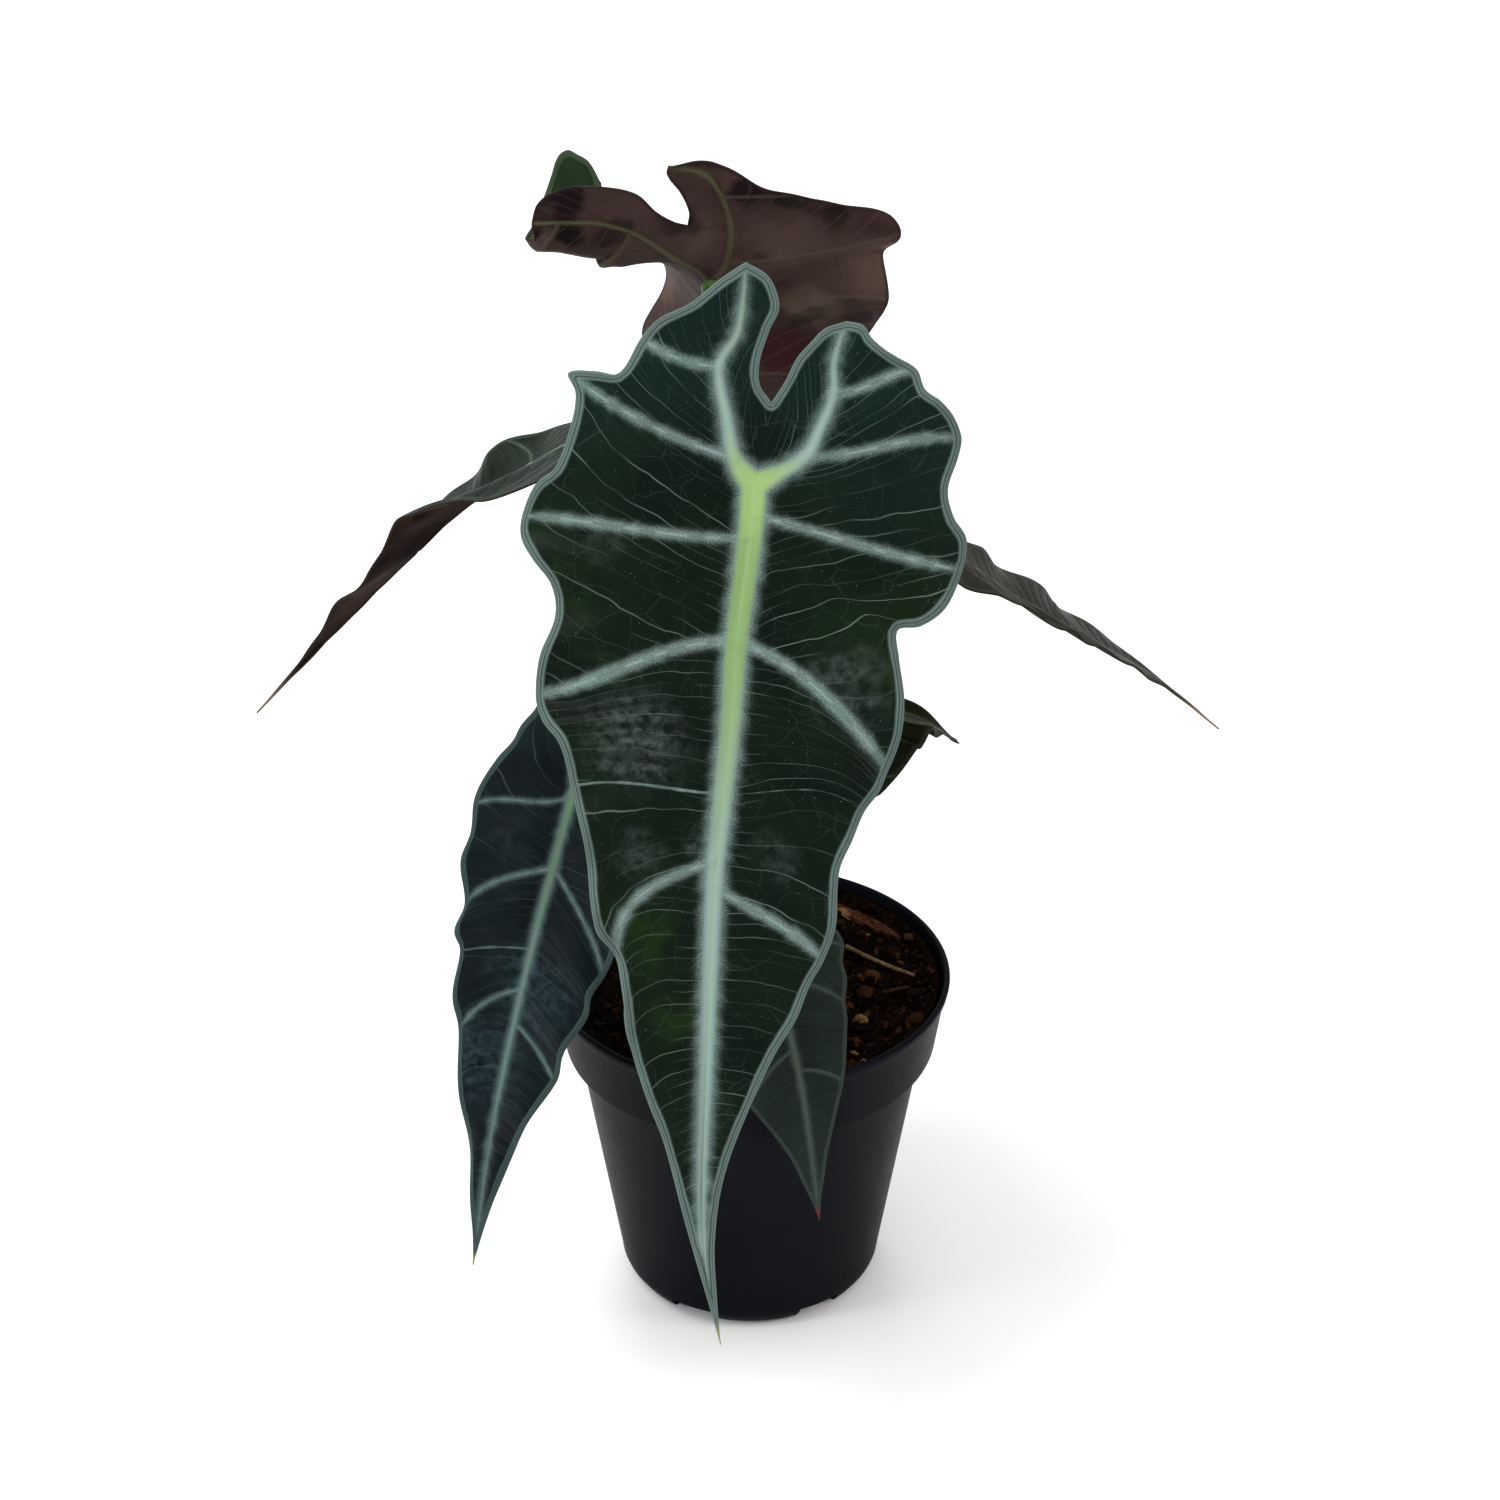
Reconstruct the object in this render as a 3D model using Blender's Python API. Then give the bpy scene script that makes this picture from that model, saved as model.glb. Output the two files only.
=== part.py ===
"""A potted alocasia: seven waved arrow-shaped leaves on fleshy petioles, standing in dark soil
in a 12 cm nursery pot. Metres, +Z up, origin at the middle of the pot's base, front towards -Y.

Every length below is in millimetres, and MM turns it into metres when a mesh is made.
"""

import math
import random

import bmesh
import bpy
from mathutils import Matrix, Vector
from mathutils.bvhtree import BVHTree

MM = 0.001
CLEARANCE = 0.3

# The pot: a tapered wall under a wider collar, with six drain notches at the lower corner.
POT_HEIGHT = 105.0
RIM_RADIUS = 60.0
COLLAR_BOTTOM_RADIUS = 56.0
COLLAR_BOTTOM = 82.0
SHOULDER_RADIUS = 52.2
WALL_FOOT_RADIUS = 40.2
WALL_FOOT = 8.0
BASE_RADIUS = 35.0
POT_WALL = 1.3
POT_SEGMENTS = 40
NOTCH_COUNT = 6
NOTCH_TURN = 3.0
NOTCH_WIDTH = 14.0
NOTCH_HEIGHT = 5.0
NOTCH_DEPTH = 9.0
NOTCH_RADIUS = 37.0

# The soil: it fills the pot to a few millimetres below the rim.
SOIL_LEVEL = 98.0
SOIL_GAP = 0.6
SOIL_BUMP = 1.3
SOIL_RINGS = 6
SOIL_SEED = 4

# The petioles: they rise from a ring of plain holes in the soil, and thin towards the blade.
CROWN_RADIUS = 12.0
PETIOLE_DEPTH = 16.0
PETIOLE_STEPS = 14
PETIOLE_ROUNDING = 2
HOLE_SEGMENTS = 12

# The blades: a sheet whose underside carries the midrib as a keel.
MIDRIB_THICKNESS = 3.0
BLADE_THICKNESS = 0.9
LATERAL_KEEL = 0.12
TIP_KEEL = 0.12
LOBE_KEEL = 0.15
ROW_STEP = 8.0
COLUMNS = 4
COLUMN_POWER = 1.5
WAVE_LENGTH = 30.0
BEND_REACH = 50.0
BEND_STEPS = 10
MERGE = 0.01
JOINT_GAP = 0.6

# A rolled flap of a lobe: it curls fully past the second of these distances along its fold, and
# not at all before the first.
ROLL_START = -17.0
ROLL_END = -11.0


def hermite(knots, values, where):
    """The smooth line through the values at their knots, running straight on past both ends."""
    last = len(knots) - 1
    index = 0
    while index < last - 1 and where > knots[index + 1]:
        index += 1

    def slope(at):
        low, high = max(at - 1, 0), min(at + 1, last)
        return (values[high] - values[low]) / (knots[high] - knots[low])

    if where <= knots[0]:
        return values[0] + slope(0) * (where - knots[0])
    if where >= knots[last]:
        return values[last] + slope(last) * (where - knots[last])
    span = knots[index + 1] - knots[index]
    t = (where - knots[index]) / span
    rise, back = t * t * (3 - 2 * t), t - 1
    ends = values[index] * (1 - rise) + values[index + 1] * rise
    return ends + (slope(index) * (t * back * back) + slope(index + 1) * (t * t * back)) * span


class Line:
    """A smooth flat line through (u, v) points, measured along its length. A point may carry a mark."""

    def __init__(self, rows):
        self.points = [Vector(row[:2]) for row in rows]
        self.knots = [0.0]
        for before, after in zip(self.points, self.points[1:]):
            self.knots.append(self.knots[-1] + (after - before).length)
        self.length = self.knots[-1]
        self.marks = {row[2]: knot for row, knot in zip(rows, self.knots) if len(row) > 2}

    def at(self, where):
        return hermite(self.knots, self.points, where)


# The outline of one half of a common blade, from the tip round to the end of its lobe. The first
# number is a part of the half's width. The second is a part of the blade's length, or, where it
# is negative, of the lobe's length. A marked point is where a primary vein meets the margin.
COMMON_MARGIN = [
    (0.0, 1.0),
    (0.05, 0.93),
    (0.12, 0.86),
    (0.22, 0.76),
    (0.38, 0.65),
    (0.56, 0.54, "6"),
    (0.64, 0.46),
    (0.73, 0.39, "5"),
    (0.80, 0.30, "4"),
    (0.89, 0.22),
    (0.89, 0.17),
    (0.97, 0.12, "3"),
    (0.95, 0.08),
    (0.80, 0.01),
    (0.69, -0.12),
    (0.66, -0.24),
    (0.58, -0.38),
    (0.56, -0.51, "2"),
    (0.47, -0.64),
    (0.43, -0.78, "1"),
    (0.35, -0.92),
    (0.22, -1.0),
]
COMMON_SINUS = [
    (0.0, -0.38),
    (0.02, -0.55),
    (0.03, -0.72),
    (0.08, -0.90),
    (0.22, -1.0),
]
COMMON_LOBE = [
    (0.0, 0.0),
    (0.09, -0.15, "2"),
    (0.17, -0.42),
    (0.22, -0.62, "1"),
    (0.22, -1.0),
]
COMMON_MIDRIB = [
    (0.0, 1.0),
    (0.0, 0.72),
    (0.0, 0.47, "right 6"),
    (0.0, 0.40, "left 6"),
    (0.0, 0.32, "left 5", "right 5"),
    (0.0, 0.16, "left 4", "right 4"),
    (0.0, 0.02, "left 3", "right 3"),
    (0.0, 0.0),
]
# How far each vein bows towards the tip's side, as a part of its length, and how much more of
# that bow lies near the midrib than near the margin.
COMMON_BOW = {
    "6": (-0.09, 0.0),
    "5": (-0.04, 0.0),
    "4": (-0.07, 0.03),
    "3": (0.0, 0.08),
    "2": (0.04, 0.0),
    "1": (0.03, 0.0),
}


def common_blade(width, length, lobe, fuller=1.0):
    """The flat lines of a blade of these sizes. Its left half is this much fuller than its right."""

    def sized(rows, turn):
        return [
            (turn * row[0] * width, row[1] * (length if row[1] > 0 else lobe), *row[2:]) for row in rows
        ]

    def half(turn):
        return {
            "margin": sized(COMMON_MARGIN, turn),
            "sinus": sized(COMMON_SINUS, turn),
            "lobe": sized(COMMON_LOBE, turn),
            "bow": COMMON_BOW,
        }

    return own_blade(sized(COMMON_MIDRIB, 1), half(-fuller), half(1))


def own_blade(midrib, left, right):
    """The flat lines of a blade with an outline of its own. A midrib row names the veins that leave it."""
    line = Line([row[:2] for row in midrib])
    starts = {"left": {}, "right": {}}
    for row, knot in zip(midrib, line.knots):
        for name in row[2:]:
            side, vein = name.split()
            starts[side][vein] = knot
    halves = {
        side: {
            "margin": Line(rows["margin"]),
            "sinus": Line(rows["sinus"]),
            "lobe": Line(rows["lobe"]),
            "bow": rows["bow"],
        }
        for side, rows in (("left", left), ("right", right))
    }
    return {"midrib": line, "starts": starts, **halves}


# The large front leaf, measured on the photograph at a quarter of a millimetre to the pixel.
FRONT_MIDRIB = [
    (-9, 236),
    (-13, 215),
    (-14, 190),
    (-12.5, 152),
    (-11.5, 127),
    (-10.5, 105, "right 6"),
    (-10, 98, "left 6"),
    (-8, 80, "left 5", "right 5"),
    (-6, 60),
    (-4.5, 40, "left 4", "right 4"),
    (-1, 13.5, "left 3"),
    (-0.5, 7.5, "right 3"),
    (0, 0),
]
FRONT_LEFT = {
    "margin": [
        (-9, 236),
        (-11, 228),
        (-16, 209),
        (-19, 197),
        (-24, 176),
        (-29.5, 160),
        (-33, 147),
        (-35, 132),
        (-36.5, 124, "6"),
        (-41, 117),
        (-43, 108),
        (-44.5, 92),
        (-48, 78, "5"),
        (-50.5, 66),
        (-55.5, 60),
        (-57.5, 54, "4"),
        (-55.5, 44),
        (-52, 34),
        (-53, 25),
        (-57, 19),
        (-61, 13),
        (-61, 8, "3"),
        (-57, 0),
        (-51, -5),
        (-47, -16),
        (-46, -24),
        (-48, -29, "2"),
        (-41, -29.5),
        (-34.5, -29.5),
        (-29, -38, "1"),
        (-24.5, -43),
        (-16, -47.5),
        (-9, -53),
        (-2, -57.5),
    ],
    "sinus": [
        (4.5, -21.5),
        (1.5, -26),
        (1.5, -32),
        (4, -40),
        (6.5, -46),
        (4, -53.5),
        (-2, -57.5),
    ],
    "lobe": [
        (0, 0),
        (-5, -7, "2"),
        (-7, -17),
        (-9, -31, "1"),
        (-4.5, -39),
        (-3, -47),
        (-2, -57.5),
    ],
    "bow": {
        "6": (-0.194, 0.073),
        "5": (-0.041, 0.041),
        "4": (-0.028, -0.056),
        "3": (0.005, 0.026),
        "2": (0.043, 0.0),
        "1": (0.075, 0.018),
    },
}
FRONT_RIGHT = {
    "margin": [
        (-9, 236),
        (-10, 220),
        (-10.5, 205),
        (-8, 186),
        (-2, 168),
        (5, 152),
        (11.5, 140),
        (15, 131),
        (18.5, 125, "6"),
        (21.5, 116),
        (22.5, 100),
        (26, 92),
        (29, 85, "5"),
        (35.5, 73.5, "4"),
        (38, 66),
        (39, 54),
        (38, 44),
        (37.5, 37),
        (43, 36),
        (50, 31),
        (55, 22, "3"),
        (55.5, 14),
        (51.5, 8),
        (50, 1),
        (53, -7),
        (54, -12, "2"),
        (52, -17),
        (48, -22),
        (44, -25),
        (42, -30, "1"),
        (37, -33),
        (30.5, -38),
        (28, -41.5),
        (23.5, -42.5),
    ],
    "sinus": [
        (4.5, -21.5),
        (8, -27),
        (11, -33),
        (14.5, -37),
        (18, -40.5),
        (23.5, -42.5),
    ],
    "lobe": [
        (0, 0),
        (13, -7.5, "2"),
        (17, -15),
        (20.5, -24, "1"),
        (20.5, -32),
        (23.5, -42.5),
    ],
    "bow": {
        "6": (-0.042, 0.037),
        "5": (-0.105, 0.082),
        "4": (-0.08, -0.025),
        "3": (0.006, -0.013),
        "2": (-0.014, 0.054),
        "1": (0.007, 0.076),
    },
}

# The tall back leaf, seen from its underside. Its right half flares out and curls over.
BACK_MIDRIB = [
    (0, 190),
    (3, 140),
    (2, 100, "left 6", "right 6"),
    (1, 70, "left 5", "right 5"),
    (0, 36, "left 4", "right 4"),
    (0, 10, "left 3", "right 3"),
    (0, 0),
]
BACK_LEFT = {
    "margin": [
        (0, 190),
        (-5, 172),
        (-13, 150),
        (-21, 132),
        (-27, 117, "6"),
        (-33, 97),
        (-39, 80, "5"),
        (-41, 62),
        (-46, 47, "4"),
        (-42, 34),
        (-47, 18),
        (-51, 5, "3"),
        (-49, -8),
        (-53.5, -18, "2"),
        (-50, -24),
        (-38, -25.5),
        (-30, -30),
        (-23, -33.5, "1"),
        (-14, -35),
        (-5, -41),
        (4, -46),
        (12, -46),
    ],
    "sinus": [
        (7, -23.5),
        (6.5, -28),
        (9, -36),
        (12.5, -43),
        (12, -46),
    ],
    "lobe": [
        (0, 0),
        (-4, -7, "2"),
        (-5.5, -19),
        (-3, -32, "1"),
        (3, -41),
        (12, -46),
    ],
    "bow": COMMON_BOW,
}
# The flap from vein 2 to vein 1 rolls over the upper face and shows above the lobe in the photo.
BACK_RIGHT = {
    "margin": [
        (0, 190),
        (6, 172),
        (14, 150),
        (21, 132),
        (27, 117, "6"),
        (31, 97),
        (36, 80, "5"),
        (37, 62),
        (40, 47, "4"),
        (35, 32),
        (31, 17),
        (27, 4, "3"),
        (28, -5),
        (31.5, -12, "2"),
        (35, -4),
        (38.5, 6),
        (41, 14.5),
        (46, 18.5),
        (52, 17),
        (57, 14),
        (60, 8),
        (59, -2),
        (56.5, -12, "1"),
        (54.5, -20),
        (51, -25),
        (51, -31),
    ],
    "sinus": [
        (7, -23.5),
        (11, -26),
        (16, -31),
        (21, -38),
        (28, -41.5),
        (38, -43),
        (44.5, -41),
        (49, -37),
        (51, -31),
    ],
    "lobe": [
        (0, 0),
        (10, -11),
        (17, -19),
        (24, -26, "2"),
        (33, -30.5),
        (43, -31.5, "1"),
        (51, -31),
    ],
    "bow": COMMON_BOW,
}

# Each leaf's path gives, for a distance along the blade from the junction (negative towards the
# lobes), the place of the midrib, the angle by which the left and right half rise beside it, and
# the further turn that each half has made 50 mm out. Heading is the compass direction that the
# blade faces, in degrees from +X. Crown is the petiole's place in the ring, in the same degrees.
LEAVES = {
    "front": {
        "blade": own_blade(FRONT_MIDRIB, FRONT_LEFT, FRONT_RIGHT),
        "heading": -90,
        "path": [
            (-60, (1, -42, 350), (4, 4), (-8, -8)),
            (0, (1, -60, 293), (5, 5), (-14, -14)),
            (60, (1, -83, 237), (6, 6), (-16, -16)),
            (120, (1, -103, 181), (8, 8), (-20, -20)),
            (180, (1, -118.5, 122.5), (8, 8), (-20, -20)),
            (236, (1, -130, 67.5), (4, 4), (0, 0)),
        ],
        "wave": 1.7,
        "quilt": 1.4,
        "seed": 11,
        "crown": -90,
        "petiole": (4.2, 2.7, 95, 42),
    },
    "lower_left": {
        "blade": common_blade(32, 155, 42),
        "heading": -125,
        "path": [
            (-44, (-38, -36, 237), (4, 4), (-8, -8)),
            (0, (-48, -45, 195), (5, 5), (-14, -14)),
            (50, (-61, -55, 147), (7, 7), (-18, -18)),
            (100, (-72, -62, 99), (8, 8), (-18, -18)),
            (155, (-81, -66, 45), (4, 4), (0, 0)),
        ],
        "wave": 1.5,
        "quilt": 1.1,
        "seed": 23,
        "crown": 220,
        "petiole": (4.0, 2.4, 60, 34),
    },
    "back": {
        "blade": own_blade(BACK_MIDRIB, BACK_LEFT, BACK_RIGHT),
        "heading": 90,
        "path": [
            (-50, (-11, 37, 350), (2, -17), (4, 25)),
            (-12, (-11, 50.5, 314.5), (2, -17), (0, 25)),
            (-2, (-11, 54.3, 305), (2, 20), (-3, 10)),
            (8, (-11, 58, 295.5), (2, 56), (-8, 0)),
            (40, (-10, 69, 265.5), (5, 60), (-14, 0)),
            (110, (-6, 90, 199), (8, 40), (-16, -10)),
            (190, (0, 104, 120), (6, 20), (0, 0)),
        ],
        "roll": {"point": (39, -21), "heading": 21, "radius": 6.0, "turn": 120},
        "wave": 1.8,
        "quilt": 1.3,
        "seed": 37,
        "crown": 95,
        "petiole": (4.2, 2.6, 95, 20),
    },
    "left": {
        "blade": common_blade(33, 178, 38),
        "heading": 152,
        "path": [
            (-40, (-13, -1, 297.5), (-6, -8), (0, 0)),
            (0, (-42, 15, 275), (-2, -6.7), (0, 0)),
            (16, (-53.8, 21.7, 265.7), (1.8, -0.6), (0, 0)),
            (30, (-63.7, 27.3, 257.5), (5.2, 4.9), (0, 0)),
            (42, (-71.8, 31.9, 250.6), (9.2, 10.1), (0, 0)),
            (54, (-79.7, 36.3, 243.3), (21.5, 16.8), (0, 0)),
            (66, (-87.3, 40.4, 235.1), (16.2, 17.8), (0, 0)),
            (76, (-93.4, 43.5, 227.7), (19.8, 12.2), (0, 0)),
            (83, (-97.6, 45.7, 222.5), (19, 9.6), (0, 0)),
            (92, (-103, 48.6, 215.8), (10.9, 8.7), (0, 0)),
            (105, (-110.9, 52.8, 205.9), (10.5, 15), (0, 0)),
            (117, (-118, 56.5, 196.7), (10.1, 19.7), (0, 0)),
            (130, (-125.7, 60.3, 187.1), (9.6, 15.2), (0, 0)),
            (151, (-138, 66, 172), (8.9, 9.6), (0, 0)),
            (178, (-154, 74, 152), (8, 8), (0, 0)),
        ],
        "wave": 0.6,
        "quilt": 1.0,
        "seed": 41,
        "crown": 160,
        "petiole": (4.0, 2.5, 90, 38),
    },
    "right": {
        "blade": common_blade(32, 173, 40),
        "heading": 37,
        "path": [
            (-42, (20, -3, 272), (-16, 4), (0, 0)),
            (4, (47.4, 18.9, 242.4), (-17.5, 8.6), (0, 0)),
            (16, (54.4, 24.6, 234.5), (-6.5, 10.4), (0, 0)),
            (42, (69.7, 36.7, 217.4), (-5.1, 14.6), (0, 0)),
            (57, (78.9, 43.7, 207.7), (-1.9, 18.4), (0, 0)),
            (68, (85.8, 48.9, 200.7), (-1.5, 15.7), (0, 0)),
            (86, (97.4, 57.5, 189.6), (-1.5, 21.2), (0, 0)),
            (96, (103.6, 62.3, 183.7), (-1.1, 14.6), (0, 0)),
            (117, (116.4, 72, 171.2), (-5.1, 19), (0, 0)),
            (130, (124.5, 77.8, 162.9), (-6, 14.4), (0, 0)),
            (147, (135, 85, 151.7), (-4.4, 6.7), (0, 0)),
            (173, (150, 95, 134.5), (-2, 3), (0, 0)),
        ],
        "wave": 0.5,
        "quilt": 0.8,
        "seed": 53,
        "crown": 28,
        "petiole": (4.0, 2.5, 85, 38),
    },
    "small_right": {
        "blade": common_blade(21, 52, 20, fuller=1.4),
        "heading": 26,
        "path": [
            (-20, (2, -42, 214), (-20, 2), (-30, 0)),
            (0, (20, -34, 212.5), (-36, 6), (-30, 0)),
            (10, (28.3, -29.5, 210.5), (-46, 8), (-30, 0)),
            (21, (37.2, -24.5, 207), (6, 10), (0, 0)),
            (34, (47.5, -18.5, 200.5), (8, 20), (0, 0)),
            (52, (60, -10, 188.5), (4, 30), (0, 0)),
        ],
        "wave": 1.6,
        "quilt": 0.6,
        "seed": 67,
        "crown": -12,
        "petiole": (2.4, 1.5, 60, 24),
    },
    "small_front": {
        "blade": common_blade(22, 88, 24, fuller=1.3),
        "heading": -75,
        "path": [
            (-26, (0, -43, 176), (4, 4), (-12, -12)),
            (0, (4, -50, 151), (5, 5), (-20, -20)),
            (44, (14, -66, 111), (8, 8), (-20, -20)),
            (88, (20, -75, 68), (4, 4), (0, 0)),
        ],
        "wave": 1.1,
        "quilt": 0.6,
        "seed": 71,
        "crown": -50,
        "petiole": (2.5, 1.6, 26, 12),
    },
}

# Bits of bark and straw that lie on the soil: two ends, thickness across and through.
LITTER = {
    "bark_strip": ((27, 44), (47, 26), 4.0, 1.6),
    "straw_twig": ((29, 21), (50, 4), 1.5, 1.5),
    "dark_twig": ((35, -6), (51, 0), 1.3, 1.3),
}

DROP_HEIGHT = 115.0
LITTER_SEGMENTS = 6
EDGE_STEPS = 5

COLOURS = {
    "blade": ((0.012, 0.030, 0.024), 0.42),
    "petiole": ((0.20, 0.33, 0.10), 0.5),
    "pot": ((0.017, 0.018, 0.021), 0.55),
    "soil": ((0.016, 0.009, 0.005), 0.95),
    "bark": ((0.090, 0.045, 0.022), 0.9),
}


def clear_scene():
    for item in list(bpy.data.objects):
        bpy.data.objects.remove(item)


def material(name, kind):
    colour, roughness = COLOURS[kind]
    made = bpy.data.materials.new(name)
    made.use_nodes = True
    shader = made.node_tree.nodes["Principled BSDF"]
    shader.inputs["Base Color"].default_value = (*colour, 1.0)
    shader.inputs["Roughness"].default_value = roughness
    shader.inputs["Metallic"].default_value = 0.0
    return made


def add_object(name, data, kind):
    made = bpy.data.objects.new(name, data)
    bpy.context.scene.collection.objects.link(made)
    data.materials.append(material(name, kind))
    return made


def mesh_from(shape, name):
    mesh = bpy.data.meshes.new(name)
    shape.to_mesh(mesh)
    shape.free()
    return mesh


class Blade:
    """One leaf blade: flat lines, laid out in space along the leaf's path."""

    def __init__(self, leaf):
        self.lines = leaf["blade"]
        self.wave = leaf["wave"]
        self.quilt = leaf["quilt"]
        self.roll = leaf.get("roll")
        self.heading = math.radians(leaf["heading"])
        rows = leaf["path"]
        self.knots = [row[0] for row in rows]
        self.places = [Vector(row[1]) for row in rows]
        self.rises = [Vector(row[2]) for row in rows]
        self.turns = [Vector(row[3]) for row in rows]
        draw = random.Random(leaf["seed"])
        self.midrib = self.lines["midrib"]
        self.ties = {side: self.make_ties(side, draw) for side in ("left", "right")}
        self.middle = sorted((point.y, point.x) for point in self.midrib.points)

    def make_ties(self, side, draw):
        """(spine length, margin length, bow, wave height) at the tip, each primary vein and the lobe."""
        half = self.lines[side]
        starts = dict(self.lines["starts"][side])
        for vein, knot in half["lobe"].marks.items():
            starts.setdefault(vein, self.midrib.length + knot)
        ties = [(0.0, 0.0, (0.0, 0.0), 0.0)]
        for vein in sorted(half["margin"].marks, key=lambda name: -int(name)):
            height = draw.uniform(0.7, 1.3)
            ties.append((starts[vein], half["margin"].marks[vein], half["bow"][vein], height))
        end = self.midrib.length + half["lobe"].length
        ties.append((end, half["margin"].length, (0.0, 0.0), 0.5))
        return ties

    def tie(self, side, along):
        """The interval between veins that holds this spine length, and how far along it is."""
        ties = self.ties[side]
        index = 0
        while index < len(ties) - 2 and along > ties[index + 1][0]:
            index += 1
        low, high = ties[index], ties[index + 1]
        return low, high, min(max((along - low[0]) / (high[0] - low[0]), 0.0), 1.0)

    def spine(self, side, along):
        if along <= self.midrib.length:
            return self.midrib.at(along)
        return self.lines[side]["lobe"].at(along - self.midrib.length)

    def flat(self, side, along, across):
        """The flat place of a point on the rib that leaves the spine at this length."""
        low, high, part = self.tie(side, along)
        start = self.spine(side, along)
        end = self.lines[side]["margin"].at(low[1] + (high[1] - low[1]) * part)
        bow, lean = (low[2][k] + (high[2][k] - low[2][k]) * part for k in (0, 1))
        bow += lean * (1 - 2 * across)
        rib = end - start
        outward = Vector((rib.y, -rib.x)) * (bow if side == "left" else -bow)
        return start + rib * across + outward * 4 * across * (1 - across)

    def flat_inner(self, side, along, across):
        """The same between the lobe's vein and the sinus."""
        lobe, sinus = self.lines[side]["lobe"], self.lines[side]["sinus"]
        part = (along - self.midrib.length) / lobe.length
        start = self.spine(side, along)
        return start + (sinus.at(part * sinus.length) - start) * across

    def lift(self, side, along, across):
        """How far the panels between the veins bulge, and how far the margin waves."""
        low, high, part = self.tie(side, along)
        count = max(1, round((high[1] - low[1]) / WAVE_LENGTH))
        height = low[3] + (high[3] - low[3]) * part
        turn = math.cos(2 * math.pi * count * part)
        bulge = self.quilt * math.sin(math.pi * part) ** 2 * 4 * across * (1 - across)
        return bulge - self.wave * height * turn * across**2

    def middle_at(self, v):
        """The midrib's distance from the blade's straight axis."""
        rows = self.middle
        if v <= rows[0][0]:
            return rows[0][1]
        for low, high in zip(rows, rows[1:]):
            if v <= high[0]:
                return low[1] + (high[1] - low[1]) * (v - low[0]) / (high[0] - low[0])
        return rows[-1][1]

    def frame(self, v):
        """The midrib's place at v, the direction of the right half, and the upper face's direction."""
        place, before, after = (hermite(self.knots, self.places, at) for at in (v, v - 1, v + 1))
        ahead = (after - before).normalized()
        side = Vector((-math.sin(self.heading), math.cos(self.heading), 0.0))
        side = (side - ahead * side.dot(ahead)).normalized()
        return place, side, ahead.cross(side)

    def rolled(self, flat, lift):
        """Where a flat point lies once the lobe's outer edge is rolled over the upper face."""
        if not self.roll:
            return flat, lift
        heading = math.radians(self.roll["heading"])
        away = Vector((math.sin(heading), math.cos(heading)))
        offset = flat - Vector(self.roll["point"])
        beyond = offset.dot(away)
        sideways = offset.x * away.y - offset.y * away.x
        share = min(max((sideways - ROLL_START) / (ROLL_END - ROLL_START), 0.0), 1.0)
        if beyond <= 0 or share == 0:
            return flat, lift
        share = share * share * (3 - 2 * share)
        radius = self.roll["radius"] / share
        angle = min(beyond / radius, math.radians(self.roll["turn"]) * share)
        rest = beyond - radius * angle
        reach = radius * math.sin(angle) + rest * math.cos(angle) - lift * math.sin(angle)
        height = radius * (1 - math.cos(angle)) + rest * math.sin(angle) + lift * math.cos(angle)
        return flat + away * (reach - beyond), height

    def place(self, flat, lift=0.0):
        """The place in space of a flat point, raised by lift above the upper face."""
        flat, lift = self.rolled(flat, lift)
        centre, side, up = self.frame(flat.y)
        middle = self.middle_at(flat.y)
        width = flat.x - middle
        half = 0 if width < 0 else 1
        rise = math.radians(hermite(self.knots, self.rises, flat.y)[half])
        turn = math.radians(hermite(self.knots, self.turns, flat.y)[half])
        step = abs(width) / BEND_STEPS
        sideways, upward = 0.0, 0.0
        for index in range(BEND_STEPS):
            angle = rise + turn * ((index + 0.5) * step / BEND_REACH) ** 2
            sideways += math.cos(angle) * step
            upward += math.sin(angle) * step
        angle = rise + turn * (abs(width) / BEND_REACH) ** 2
        sideways -= math.sin(angle) * lift
        upward += math.cos(angle) * lift
        return centre + side * (middle + math.copysign(sideways, width)) + up * upward

    def stations(self, sides, low, high):
        """The spine lengths of the ribs: one at each vein, and even steps between them."""
        breaks = sorted({low, high} | {tie[0] for side in sides for tie in self.ties[side]})
        breaks = [knot for knot in breaks if low <= knot <= high]
        stations = []
        for before, after in zip(breaks, breaks[1:]):
            longest = after - before
            for side in sides:
                first, second = (self.margin_length(side, knot) for knot in (before, after))
                longest = max(longest, second - first)
            count = max(1, round(longest / ROW_STEP))
            stations += [before + (after - before) * step / count for step in range(count)]
        return stations + [high]

    def margin_length(self, side, along):
        low, high, part = self.tie(side, along)
        return low[1] + (high[1] - low[1]) * part

    def keel(self, side, along, across):
        """The weight of the ridge under the midrib, the lobe's vein and the primary veins."""
        end = self.midrib.length
        if along <= end:
            ridge = TIP_KEEL + (1 - TIP_KEEL) * (along / end) ** 1.2
        else:
            past = min(1.0, (along - end) / self.lines[side]["lobe"].length)
            ridge = 1.0 - (1 - LOBE_KEEL) * past**0.6
        if across == 0:
            return ridge
        on_vein = any(abs(along - tie[0]) < 0.01 for tie in self.ties[side][1:-1])
        return LATERAL_KEEL * (1 - across) if on_vein else 0.0


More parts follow.
